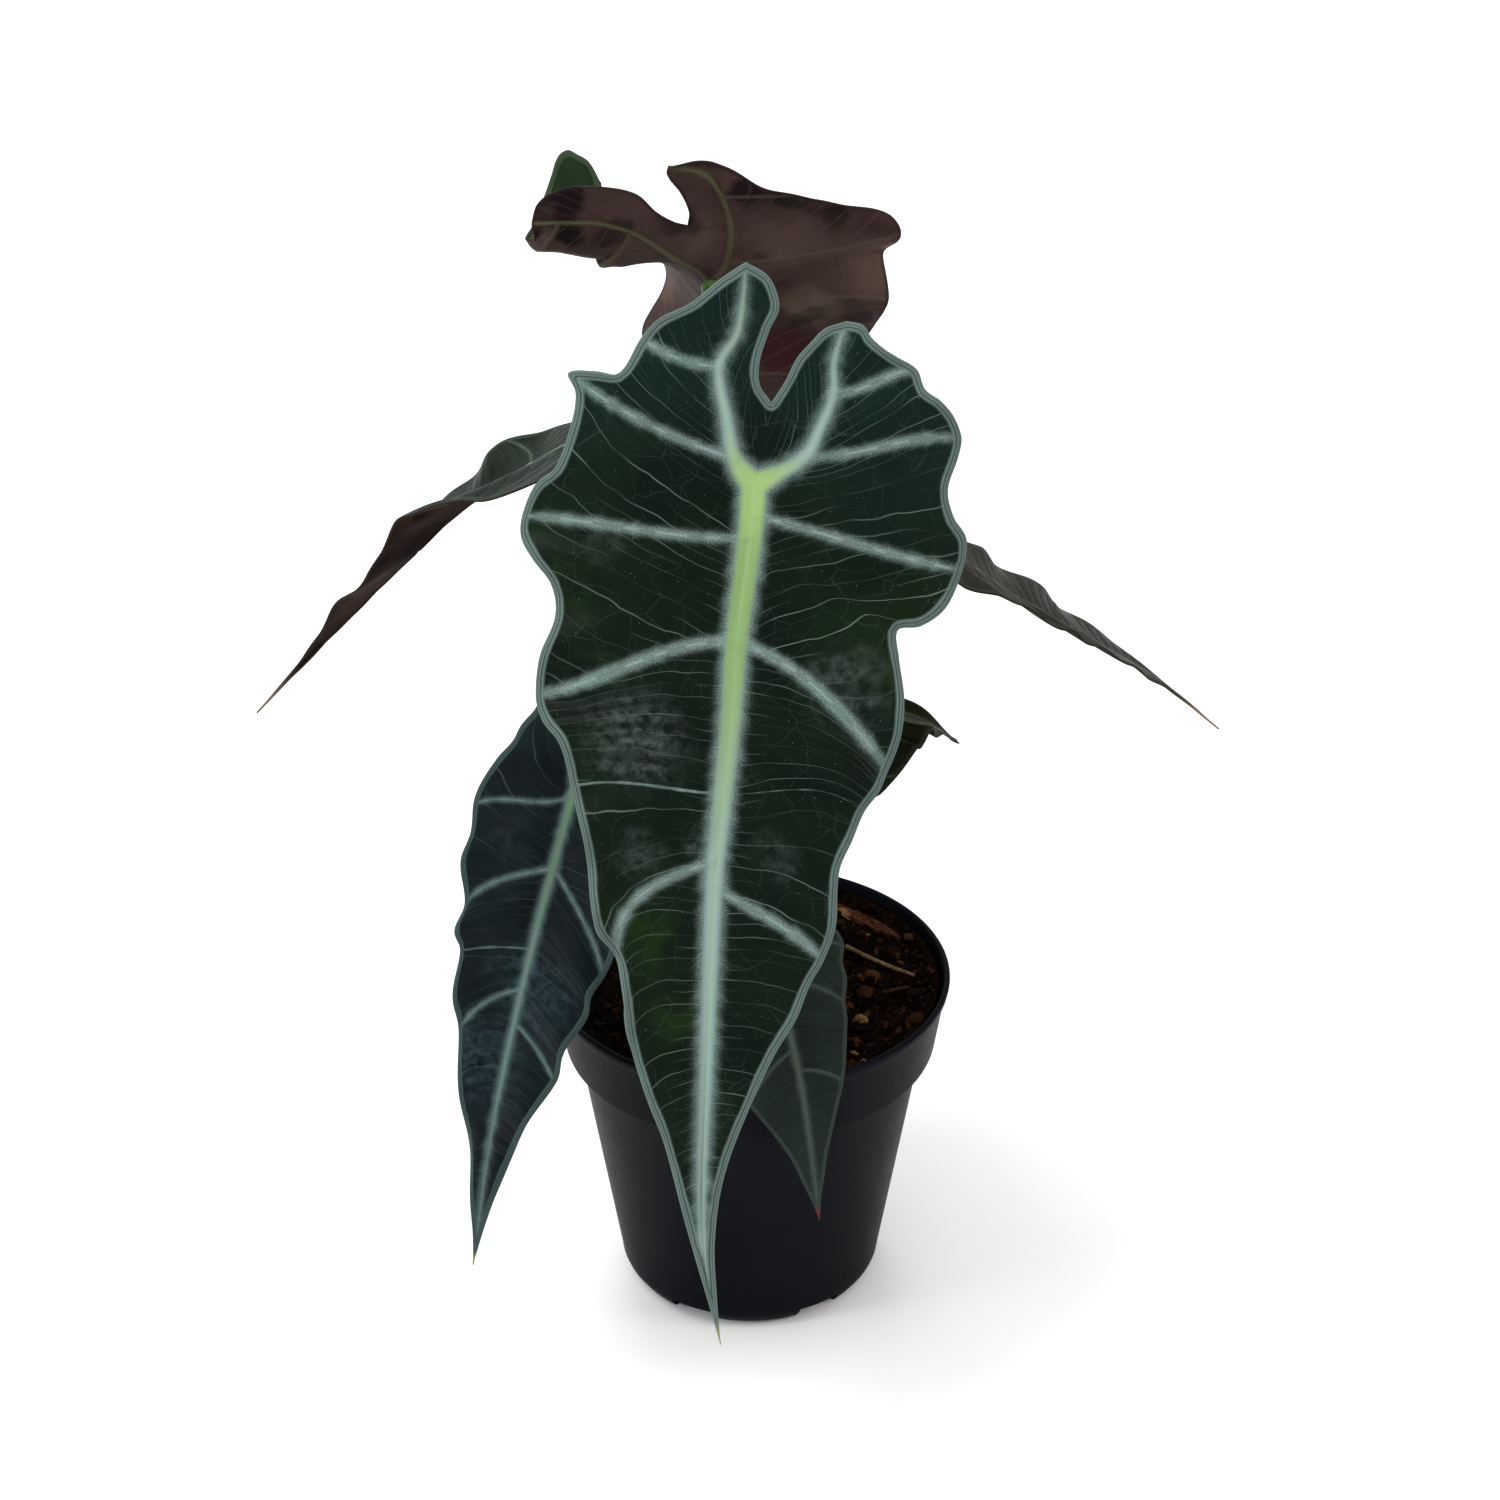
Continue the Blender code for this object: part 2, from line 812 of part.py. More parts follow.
def add_patch(shape, keels, blade, side, stations, inner):
    """A grid between the spine and the margin, or, where inner, between the lobe's vein and the sinus."""
    rows = len(stations) - 1
    made = bmesh.ops.create_grid(shape, x_segments=rows, y_segments=COLUMNS, size=1.0)["verts"]
    for vertex in made:
        along = stations[round((vertex.co.x + 1) / 2 * rows)]
        across = (round((vertex.co.y + 1) / 2 * COLUMNS) / COLUMNS) ** COLUMN_POWER
        if inner:
            flat = blade.flat_inner(side, along, across)
            lift = 0.0
            keel = blade.keel(side, along, across) if across == 0 else 0.0
        else:
            flat = blade.flat(side, along, across)
            lift = blade.lift(side, along, across)
            keel = blade.keel(side, along, across)
        vertex.co = blade.place(flat, lift) * MM
        vertex[keels] = keel


def add_blade(name, leaf):
    blade = Blade(leaf)
    shape = bmesh.new()
    keels = shape.verts.layers.float.new("keel")
    end = blade.midrib.length
    midrib_stations = blade.stations(("left", "right"), 0.0, end)
    for side in ("left", "right"):
        lobe_stations = blade.stations((side,), end, end + blade.lines[side]["lobe"].length)
        add_patch(shape, keels, blade, side, midrib_stations[:-1] + lobe_stations, False)
        add_patch(shape, keels, blade, side, lobe_stations, True)
    bmesh.ops.remove_doubles(shape, verts=shape.verts[:], dist=MERGE * MM)
    bmesh.ops.dissolve_degenerate(shape, edges=shape.edges[:], dist=MERGE * MM)
    bmesh.ops.triangulate(shape, faces=shape.faces[:])
    bmesh.ops.recalc_face_normals(shape, faces=shape.faces[:])
    up = blade.frame(0.0)[2]
    if sum((face.normal.dot(up) * face.calc_area() for face in shape.faces), 0.0) < 0:
        bmesh.ops.reverse_faces(shape, faces=shape.faces[:])
    weights = [vertex[keels] for vertex in shape.verts]
    made = add_object(f"leaf_{name}", mesh_from(shape, f"leaf_{name}"), "blade")
    made.data.shade_smooth()
    group = made.vertex_groups.new(name="keel")
    for index, weight in enumerate(weights):
        group.add([index], weight, "REPLACE")
    solid = made.modifiers.new("Thickness", "SOLIDIFY")
    solid.thickness = MIDRIB_THICKNESS * MM
    solid.offset = -1.0
    solid.vertex_group = group.name
    solid.thickness_vertex_group = BLADE_THICKNESS / MIDRIB_THICKNESS
    return blade


def crown_place(leaf):
    angle = math.radians(leaf["crown"])
    return CROWN_RADIUS * math.cos(angle), CROWN_RADIUS * math.sin(angle)


def add_petiole(name, leaf, blade):
    """A fleshy stalk from its hole in the soil to the underside of the junction."""
    thick, thin, rise, reach = leaf["petiole"]
    centre, side, up = blade.frame(0.0)
    foot = Vector((*crown_place(leaf), SOIL_LEVEL - PETIOLE_DEPTH))
    start = Vector((*crown_place(leaf), SOIL_LEVEL))
    end = centre - up * (MIDRIB_THICKNESS + JOINT_GAP)
    handles = (start, start + Vector((0, 0, rise)), end - up * reach, end)
    curve = bpy.data.curves.new(f"petiole_{name}", "CURVE")
    curve.dimensions = "3D"
    curve.bevel_depth = MM
    curve.bevel_resolution = PETIOLE_ROUNDING
    curve.use_fill_caps = True
    spline = curve.splines.new("POLY")
    spline.points.add(PETIOLE_STEPS + 1)
    for index, point in enumerate(spline.points):
        t = max(index - 1, 0) / PETIOLE_STEPS
        parts = ((1 - t) ** 3, 3 * t * (1 - t) ** 2, 3 * t * t * (1 - t), t**3)
        place = sum((handle * part for handle, part in zip(handles, parts)), Vector((0, 0, 0)))
        point.co = (*((place if index else foot) * MM), 1.0)
        point.radius = thick + (thin - thick) * t**0.7
    add_object(f"petiole_{name}", curve, "petiole")


def lathe(shape, profile, segments):
    """Turns a closed (radius, height) profile about the pot's axis."""
    verts = [shape.verts.new((radius * MM, 0.0, height * MM)) for radius, height in profile]
    edges = [shape.edges.new((low, high)) for low, high in zip(verts, verts[1:])]
    bmesh.ops.spin(
        shape,
        geom=verts + edges,
        axis=(0, 0, 1),
        cent=(0, 0, 0),
        steps=segments,
        angle=2 * math.pi,
        use_merge=True,
    )
    bmesh.ops.remove_doubles(shape, verts=shape.verts[:], dist=MERGE * MM)
    bmesh.ops.recalc_face_normals(shape, faces=shape.faces[:])


def add_pot():
    inner_rim = RIM_RADIUS - POT_WALL - 0.6
    profile = [
        (0.0, 0.0),
        (BASE_RADIUS, 0.0),
        (BASE_RADIUS + 2.4, 1.2),
        (WALL_FOOT_RADIUS - 1.0, 3.8),
        (WALL_FOOT_RADIUS, WALL_FOOT),
        (SHOULDER_RADIUS, COLLAR_BOTTOM),
        (COLLAR_BOTTOM_RADIUS - 0.6, COLLAR_BOTTOM),
        (COLLAR_BOTTOM_RADIUS, COLLAR_BOTTOM + 0.6),
        (RIM_RADIUS - 1.0, POT_HEIGHT - 4.0),
        (RIM_RADIUS, POT_HEIGHT - 1.4),
        (RIM_RADIUS - 0.5, POT_HEIGHT),
        (inner_rim + 0.5, POT_HEIGHT),
        (inner_rim, POT_HEIGHT - 1.4),
        (COLLAR_BOTTOM_RADIUS - POT_WALL, COLLAR_BOTTOM + POT_WALL),
        (SHOULDER_RADIUS - POT_WALL, COLLAR_BOTTOM + POT_WALL),
        (WALL_FOOT_RADIUS - POT_WALL, WALL_FOOT),
        (WALL_FOOT_RADIUS - POT_WALL - 1.0, 4.4),
        (BASE_RADIUS + 0.4, 1.9),
        (BASE_RADIUS - 1.0, POT_WALL),
        (0.0, POT_WALL),
    ]
    shape = bmesh.new()
    lathe(shape, profile, POT_SEGMENTS)
    pot = add_object("pot", mesh_from(shape, "pot"), "pot")
    pot.data.shade_smooth()
    pot.data.set_sharp_from_angle(angle=math.radians(35))
    cutter = notch_cutter()
    cut = pot.modifiers.new("Drain notches", "BOOLEAN")
    cut.object = cutter
    cut.solver = "EXACT"


def notch_cutter():
    """Six blocks round the lower corner, in one mesh, a pair of them either side of the front."""
    shape = bmesh.new()
    for index in range(NOTCH_COUNT):
        angle = math.radians(NOTCH_TURN) + 2 * math.pi * index / NOTCH_COUNT
        made = bmesh.ops.create_cube(shape, size=1.0)["verts"]
        size = Vector((NOTCH_DEPTH, NOTCH_WIDTH, 2 * NOTCH_HEIGHT))
        bmesh.ops.scale(shape, verts=made, vec=size * MM)
        bmesh.ops.translate(shape, verts=made, vec=Vector((NOTCH_RADIUS, 0.0, 0.0)) * MM)
        turn = Matrix.Rotation(angle, 3, "Z")
        bmesh.ops.rotate(shape, verts=made, cent=(0, 0, 0), matrix=turn)
    cutter = bpy.data.objects.new("notch_cutter", mesh_from(shape, "notch_cutter"))
    bpy.context.scene.collection.objects.link(cutter)
    cutter.hide_render = True
    cutter.display_type = "WIRE"
    return cutter


def add_soil():
    """The root ball and its crumbly top, with a plain hole for each petiole."""
    wall = POT_WALL + SOIL_GAP
    slope = (RIM_RADIUS - COLLAR_BOTTOM_RADIUS) / (POT_HEIGHT - COLLAR_BOTTOM)
    top_radius = COLLAR_BOTTOM_RADIUS - wall + slope * (SOIL_LEVEL - COLLAR_BOTTOM) - 0.4
    profile = [
        (0.0, wall),
        (BASE_RADIUS - 2.0, wall),
        (WALL_FOOT_RADIUS - wall - 1.6, 6.0),
        (SHOULDER_RADIUS - wall, COLLAR_BOTTOM + wall),
        (COLLAR_BOTTOM_RADIUS - wall - 0.3, COLLAR_BOTTOM + wall),
    ]
    profile += [(top_radius * (1 - ring / SOIL_RINGS), SOIL_LEVEL) for ring in range(SOIL_RINGS + 1)]
    shape = bmesh.new()
    lathe(shape, profile, POT_SEGMENTS)
    draw = random.Random(SOIL_SEED)
    for vertex in shape.verts:
        radius = math.hypot(vertex.co.x, vertex.co.y) / MM
        if vertex.co.z > (SOIL_LEVEL - 1) * MM and radius < top_radius - 1:
            vertex.co.z += draw.uniform(-SOIL_BUMP, SOIL_BUMP) * MM
    bmesh.ops.triangulate(shape, faces=shape.faces[:])
    soil = add_object("soil", mesh_from(shape, "soil"), "soil")
    soil.data.shade_smooth()
    soil.data.set_sharp_from_angle(angle=math.radians(50))
    cut = soil.modifiers.new("Petiole holes", "BOOLEAN")
    cut.object = hole_cutter()
    cut.solver = "EXACT"
    return soil


def hole_cutter():
    """A round peg for each petiole's hole, in one mesh."""
    shape = bmesh.new()
    for leaf in LEAVES.values():
        radius = (leaf["petiole"][0] + CLEARANCE) / math.cos(math.pi / HOLE_SEGMENTS)
        made = bmesh.ops.create_cone(
            shape,
            cap_ends=True,
            segments=HOLE_SEGMENTS,
            radius1=radius * MM,
            radius2=radius * MM,
            depth=2 * (PETIOLE_DEPTH + CLEARANCE) * MM,
        )["verts"]
        bmesh.ops.translate(shape, verts=made, vec=Vector((*crown_place(leaf), SOIL_LEVEL)) * MM)
    cutter = bpy.data.objects.new("hole_cutter", mesh_from(shape, "hole_cutter"))
    bpy.context.scene.collection.objects.link(cutter)
    cutter.hide_render = True
    cutter.display_type = "WIRE"
    return cutter


def add_litter(soil):
    """Bark and straw, each let down until it lies just clear of the soil."""
    bpy.context.view_layer.update()
    ground = BVHTree.FromObject(soil, bpy.context.evaluated_depsgraph_get())
    for name, (start, end, broad, deep) in LITTER.items():
        first, second = Vector((*start, DROP_HEIGHT)), Vector((*end, DROP_HEIGHT))
        length = (second - first).length
        shape = bmesh.new()
        made = bmesh.ops.create_cone(
            shape,
            cap_ends=True,
            segments=LITTER_SEGMENTS,
            radius1=0.5,
            radius2=0.32,
            depth=1.0,
        )["verts"]
        lie_down = Matrix.Rotation(math.radians(90), 3, "Y")
        bmesh.ops.rotate(shape, verts=made, cent=(0, 0, 0), matrix=lie_down)
        bmesh.ops.scale(shape, verts=made, vec=Vector((length, broad, deep)) * MM)
        turn = Matrix.Rotation(math.atan2(*(second - first).yx), 3, "Z")
        bmesh.ops.rotate(shape, verts=made, cent=(0, 0, 0), matrix=turn)
        bmesh.ops.translate(shape, verts=made, vec=(first + second) / 2 * MM)
        drop = min(litter_clearance(shape, ground)) - CLEARANCE * MM
        bmesh.ops.translate(shape, verts=made, vec=(0, 0, -drop))
        add_object(name, mesh_from(shape, name), "bark").data.shade_smooth()


def litter_clearance(shape, ground):
    """The height above the soil at points all along each edge of the piece."""
    heights = []
    for edge in shape.edges:
        for step in range(EDGE_STEPS + 1):
            point = edge.verts[0].co.lerp(edge.verts[1].co, step / EDGE_STEPS)
            hit = ground.ray_cast(point, Vector((0, 0, -1)))[0]
            if hit is not None:
                heights.append(point.z - hit.z)
    return heights


def build():
    clear_scene()
    add_pot()
    soil = add_soil()
    add_litter(soil)
    for name, leaf in LEAVES.items():
        add_petiole(name, leaf, add_blade(name, leaf))


build()
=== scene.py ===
# %% [markdown]
# # A potted alocasia
# This lesson dresses a finished model of a young alocasia in its nursery pot. The solids come
# from the packed model, which Blender never moves. Each blade, petiole, the soil and the pot then
# get a finer piece that keeps the solid's form and carries the veins, the sheen and the colour.
# Lengths are in millimetres in the sums, and MM turns them into metres when a mesh is made.

# %% Load the packed model
import math
import random

import bmesh
import bpy
import numpy as np
from mathutils import Matrix, Vector, noise


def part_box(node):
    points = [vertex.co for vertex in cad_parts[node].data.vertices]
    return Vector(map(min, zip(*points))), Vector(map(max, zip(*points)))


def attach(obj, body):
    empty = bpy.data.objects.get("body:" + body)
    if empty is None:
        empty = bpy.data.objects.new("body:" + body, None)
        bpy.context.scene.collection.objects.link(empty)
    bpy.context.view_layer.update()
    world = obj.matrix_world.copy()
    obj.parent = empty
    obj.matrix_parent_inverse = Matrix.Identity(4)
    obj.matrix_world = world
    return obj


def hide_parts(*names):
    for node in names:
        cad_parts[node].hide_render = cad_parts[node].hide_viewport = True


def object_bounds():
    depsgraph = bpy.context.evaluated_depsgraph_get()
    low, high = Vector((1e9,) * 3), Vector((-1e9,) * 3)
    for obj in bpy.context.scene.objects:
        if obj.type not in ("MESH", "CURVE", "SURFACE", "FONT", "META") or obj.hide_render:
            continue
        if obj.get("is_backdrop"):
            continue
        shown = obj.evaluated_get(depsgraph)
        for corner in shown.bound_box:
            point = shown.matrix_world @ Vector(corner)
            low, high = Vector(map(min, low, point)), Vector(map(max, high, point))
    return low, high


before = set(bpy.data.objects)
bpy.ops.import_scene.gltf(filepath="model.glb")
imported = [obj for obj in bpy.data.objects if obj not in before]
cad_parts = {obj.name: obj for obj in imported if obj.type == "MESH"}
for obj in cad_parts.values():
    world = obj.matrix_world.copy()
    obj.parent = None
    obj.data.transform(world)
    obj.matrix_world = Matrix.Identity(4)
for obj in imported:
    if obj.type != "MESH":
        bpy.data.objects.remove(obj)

MM = 0.001
cad_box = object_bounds()
print("nodes:", len(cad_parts), "box:", [round(x, 4) for corner in cad_box for x in corner])

# %% [markdown]
# ## Smooth lines from a few points
# A leaf's outline, its midrib and its path through the air are all smooth lines through a few
# measured points. A Hermite curve passes through each point and takes its slope from the two
# beside it. It is written here for whole arrays, because a blade has tens of thousands of points.

# %% Smooth lines
def hermite(knots, values, where):
    """The smooth line through the values at their knots, running straight on past both ends."""
    knots, values = np.asarray(knots, float), np.asarray(values, float)
    where = np.atleast_1d(np.asarray(where, float))
    last = len(knots) - 1
    low, high = np.maximum(np.arange(last + 1) - 1, 0), np.minimum(np.arange(last + 1) + 1, last)
    slopes = (values[high] - values[low]) / (knots[high] - knots[low])[:, None]
    index = np.clip(np.searchsorted(knots, where) - 1, 0, last - 1)
    span = (knots[index + 1] - knots[index])[:, None]
    t = np.clip((where - knots[index])[:, None] / span, 0, 1)
    rise = t * t * (3 - 2 * t)
    made = values[index] * (1 - rise) + values[index + 1] * rise
    made += (slopes[index] * t * (t - 1) ** 2 + slopes[index + 1] * t * t * (t - 1)) * span
    before = np.minimum(where - knots[0], 0)[:, None] * slopes[0]
    beyond = np.maximum(where - knots[last], 0)[:, None] * slopes[last]
    return made + before + beyond


SIDES = ("left", "right")


class Line:
    """A smooth flat line through (u, v) points, measured along it. A point may carry a mark."""

    def __init__(self, rows):
        self.points = np.array([row[:2] for row in rows], float)
        steps = np.linalg.norm(np.diff(self.points, axis=0), axis=1)
        self.knots = np.concatenate([[0.0], np.cumsum(steps)])
        self.length = self.knots[-1]
        self.marks = {row[2]: knot for row, knot in zip(rows, self.knots) if len(row) > 2}

    def at(self, where):
        return hermite(self.knots, self.points, where)


# %% [markdown]
# ## The outlines of the blades
# The rows below are the same lines that the solids were made from. u runs across the blade and v
# runs from the petiole's junction towards the tip, so the lobes have negative v. A numbered point
# is where a primary vein meets the margin. Five of the blades share one outline, and the two
# large ones whose faces show, the front and the back leaf, have outlines of their own.

# %% The common outline
# The outline of one half of a common blade, from the tip round to the end of its lobe. The first
# number is a part of the half's width. The second is a part of the blade's length, or, where it
# is negative, of the lobe's length. A marked point is where a primary vein meets the margin.
COMMON_MARGIN = [
    (0.0, 1.0), (0.05, 0.93), (0.12, 0.86), (0.22, 0.76), (0.38, 0.65), (0.56, 0.54, "6"),
    (0.64, 0.46), (0.73, 0.39, "5"), (0.80, 0.30, "4"), (0.89, 0.22), (0.89, 0.17),
    (0.97, 0.12, "3"), (0.95, 0.08), (0.80, 0.01), (0.69, -0.12), (0.66, -0.24), (0.58, -0.38),
    (0.56, -0.51, "2"), (0.47, -0.64), (0.43, -0.78, "1"), (0.35, -0.92), (0.22, -1.0),
]
COMMON_SINUS = [(0.0, -0.38), (0.02, -0.55), (0.03, -0.72), (0.08, -0.90), (0.22, -1.0)]
COMMON_LOBE = [(0.0, 0.0), (0.09, -0.15, "2"), (0.17, -0.42), (0.22, -0.62, "1"), (0.22, -1.0)]
COMMON_MIDRIB = [
    (0.0, 1.0), (0.0, 0.72), (0.0, 0.47, "right 6"), (0.0, 0.40, "left 6"),
    (0.0, 0.32, "left 5", "right 5"), (0.0, 0.16, "left 4", "right 4"),
    (0.0, 0.02, "left 3", "right 3"), (0.0, 0.0),
]
# How far each vein bows towards the tip's side, as a part of its length, and how much more of
# that bow lies near the midrib than near the margin.
COMMON_BOW = {
    "6": (-0.09, 0.0), "5": (-0.04, 0.0), "4": (-0.07, 0.03), "3": (0.0, 0.08), "2": (0.04, 0.0),
    "1": (0.03, 0.0),
}


def common_blade(width, length, lobe, fuller=1.0):
    """The flat lines of a blade of these sizes. Its left half is so much fuller than its right."""

    def sized(rows, turn):
        return [
            (turn * u * width, v * (length if v > 0 else lobe), *marks) for u, v, *marks in rows
        ]

    def half(turn):
        return {
            "margin": sized(COMMON_MARGIN, turn),
            "sinus": sized(COMMON_SINUS, turn),
            "lobe": sized(COMMON_LOBE, turn),
            "bow": COMMON_BOW,
        }

    return own_blade(sized(COMMON_MIDRIB, 1), half(-fuller), half(1))


def own_blade(midrib, left, right):
    """The flat lines of a blade with its own outline. A midrib row names the veins it sends out."""
    line = Line([row[:2] for row in midrib])
    starts = {"left": {}, "right": {}}
    for row, knot in zip(midrib, line.knots):
        for name in row[2:]:
            side, vein = name.split()
            starts[side][vein] = knot
    halves = {}
    for side, rows in zip(SIDES, (left, right)):
        lines = {key: Line(rows[key]) for key in ("margin", "sinus", "lobe")}
        halves[side] = {**lines, "bow": rows["bow"]}
    return {"midrib": line, "starts": starts, **halves}


print("common outline:", len(COMMON_MARGIN), "points a side")

# %% The front leaf's outline
# The large front leaf, measured on the photograph at a quarter of a millimetre to the pixel.
FRONT_MIDRIB = [
    (-9, 236), (-13, 215), (-14, 190), (-12.5, 152), (-11.5, 127), (-10.5, 105, "right 6"),
    (-10, 98, "left 6"), (-8, 80, "left 5", "right 5"), (-6, 60), (-4.5, 40, "left 4", "right 4"),
    (-1, 13.5, "left 3"), (-0.5, 7.5, "right 3"), (0, 0),
]
FRONT_LEFT = {
    "margin": [
        (-9, 236), (-11, 228), (-16, 209), (-19, 197), (-24, 176), (-29.5, 160), (-33, 147),
        (-35, 132), (-36.5, 124, "6"), (-41, 117), (-43, 108), (-44.5, 92), (-48, 78, "5"),
        (-50.5, 66), (-55.5, 60), (-57.5, 54, "4"), (-55.5, 44), (-52, 34), (-53, 25), (-57, 19),
        (-61, 13), (-61, 8, "3"), (-57, 0), (-51, -5), (-47, -16), (-46, -24), (-48, -29, "2"),
        (-41, -29.5), (-34.5, -29.5), (-29, -38, "1"), (-24.5, -43), (-16, -47.5), (-9, -53),
        (-2, -57.5),
    ],
    "sinus": [(4.5, -21.5), (1.5, -26), (1.5, -32), (4, -40), (6.5, -46), (4, -53.5), (-2, -57.5)],
    "lobe": [(0, 0), (-5, -7, "2"), (-7, -17), (-9, -31, "1"), (-4.5, -39), (-3, -47), (-2, -57.5)],
    "bow": {
        "6": (-0.194, 0.073), "5": (-0.041, 0.041), "4": (-0.028, -0.056), "3": (0.005, 0.026),
        "2": (0.043, 0.0), "1": (0.075, 0.018),
    },
}
FRONT_RIGHT = {
    "margin": [
        (-9, 236), (-10, 220), (-10.5, 205), (-8, 186), (-2, 168), (5, 152), (11.5, 140), (15, 131),
        (18.5, 125, "6"), (21.5, 116), (22.5, 100), (26, 92), (29, 85, "5"), (35.5, 73.5, "4"),
        (38, 66), (39, 54), (38, 44), (37.5, 37), (43, 36), (50, 31), (55, 22, "3"), (55.5, 14),
        (51.5, 8), (50, 1), (53, -7), (54, -12, "2"), (52, -17), (48, -22), (44, -25),
        (42, -30, "1"), (37, -33), (30.5, -38), (28, -41.5), (23.5, -42.5),
    ],
    "sinus": [(4.5, -21.5), (8, -27), (11, -33), (14.5, -37), (18, -40.5), (23.5, -42.5)],
    "lobe": [(0, 0), (13, -7.5, "2"), (17, -15), (20.5, -24, "1"), (20.5, -32), (23.5, -42.5)],
    "bow": {
        "6": (-0.042, 0.037), "5": (-0.105, 0.082), "4": (-0.08, -0.025), "3": (0.006, -0.013),
        "2": (-0.014, 0.054), "1": (0.007, 0.076),
    },
}

# %% The back leaf's outline
# The tall back leaf, seen from its underside. Its right half flares out and curls over.
BACK_MIDRIB = [
    (0, 190), (3, 140), (2, 100, "left 6", "right 6"), (1, 70, "left 5", "right 5"),
    (0, 36, "left 4", "right 4"), (0, 10, "left 3", "right 3"), (0, 0),
]
BACK_LEFT = {
    "margin": [
        (0, 190), (-5, 172), (-13, 150), (-21, 132), (-27, 117, "6"), (-33, 97), (-39, 80, "5"),
        (-41, 62), (-46, 47, "4"), (-42, 34), (-47, 18), (-51, 5, "3"), (-49, -8),
        (-53.5, -18, "2"), (-50, -24), (-38, -25.5), (-30, -30), (-23, -33.5, "1"), (-14, -35),
        (-5, -41), (4, -46), (12, -46),
    ],
    "sinus": [(7, -23.5), (6.5, -28), (9, -36), (12.5, -43), (12, -46)],
    "lobe": [(0, 0), (-4, -7, "2"), (-5.5, -19), (-3, -32, "1"), (3, -41), (12, -46)],
    "bow": COMMON_BOW,
}
BACK_RIGHT = {
    "margin": [
        (0, 190), (6, 172), (14, 150), (21, 132), (27, 117, "6"), (31, 97), (36, 80, "5"), (37, 62),
        (40, 47, "4"), (35, 32), (31, 17), (27, 4, "3"), (28, -5), (31.5, -12, "2"), (35, -4),
        (38.5, 6), (41, 14.5), (46, 18.5), (52, 17), (57, 14), (60, 8), (59, -2), (56.5, -12, "1"),
        (54.5, -20), (51, -25), (51, -31),
    ],
    "sinus": [
        (7, -23.5), (11, -26), (16, -31), (21, -38), (28, -41.5), (38, -43), (44.5, -41), (49, -37),
        (51, -31),
    ],
    "lobe": [
        (0, 0), (10, -11), (17, -19), (24, -26, "2"), (33, -30.5), (43, -31.5, "1"), (51, -31),
    ],
    "bow": COMMON_BOW,
}

# %% [markdown]
# ## How each leaf hangs
# A blade is laid along a path in the air. At a few places along it the rows give the midrib's
# position, how far each half rises beside it, and how much more each half has turned 50 mm out.
# The outer flap of the back leaf's right lobe is rolled over the upper face as well, before the
# rest is laid out, round a line through a point of the flat blade.

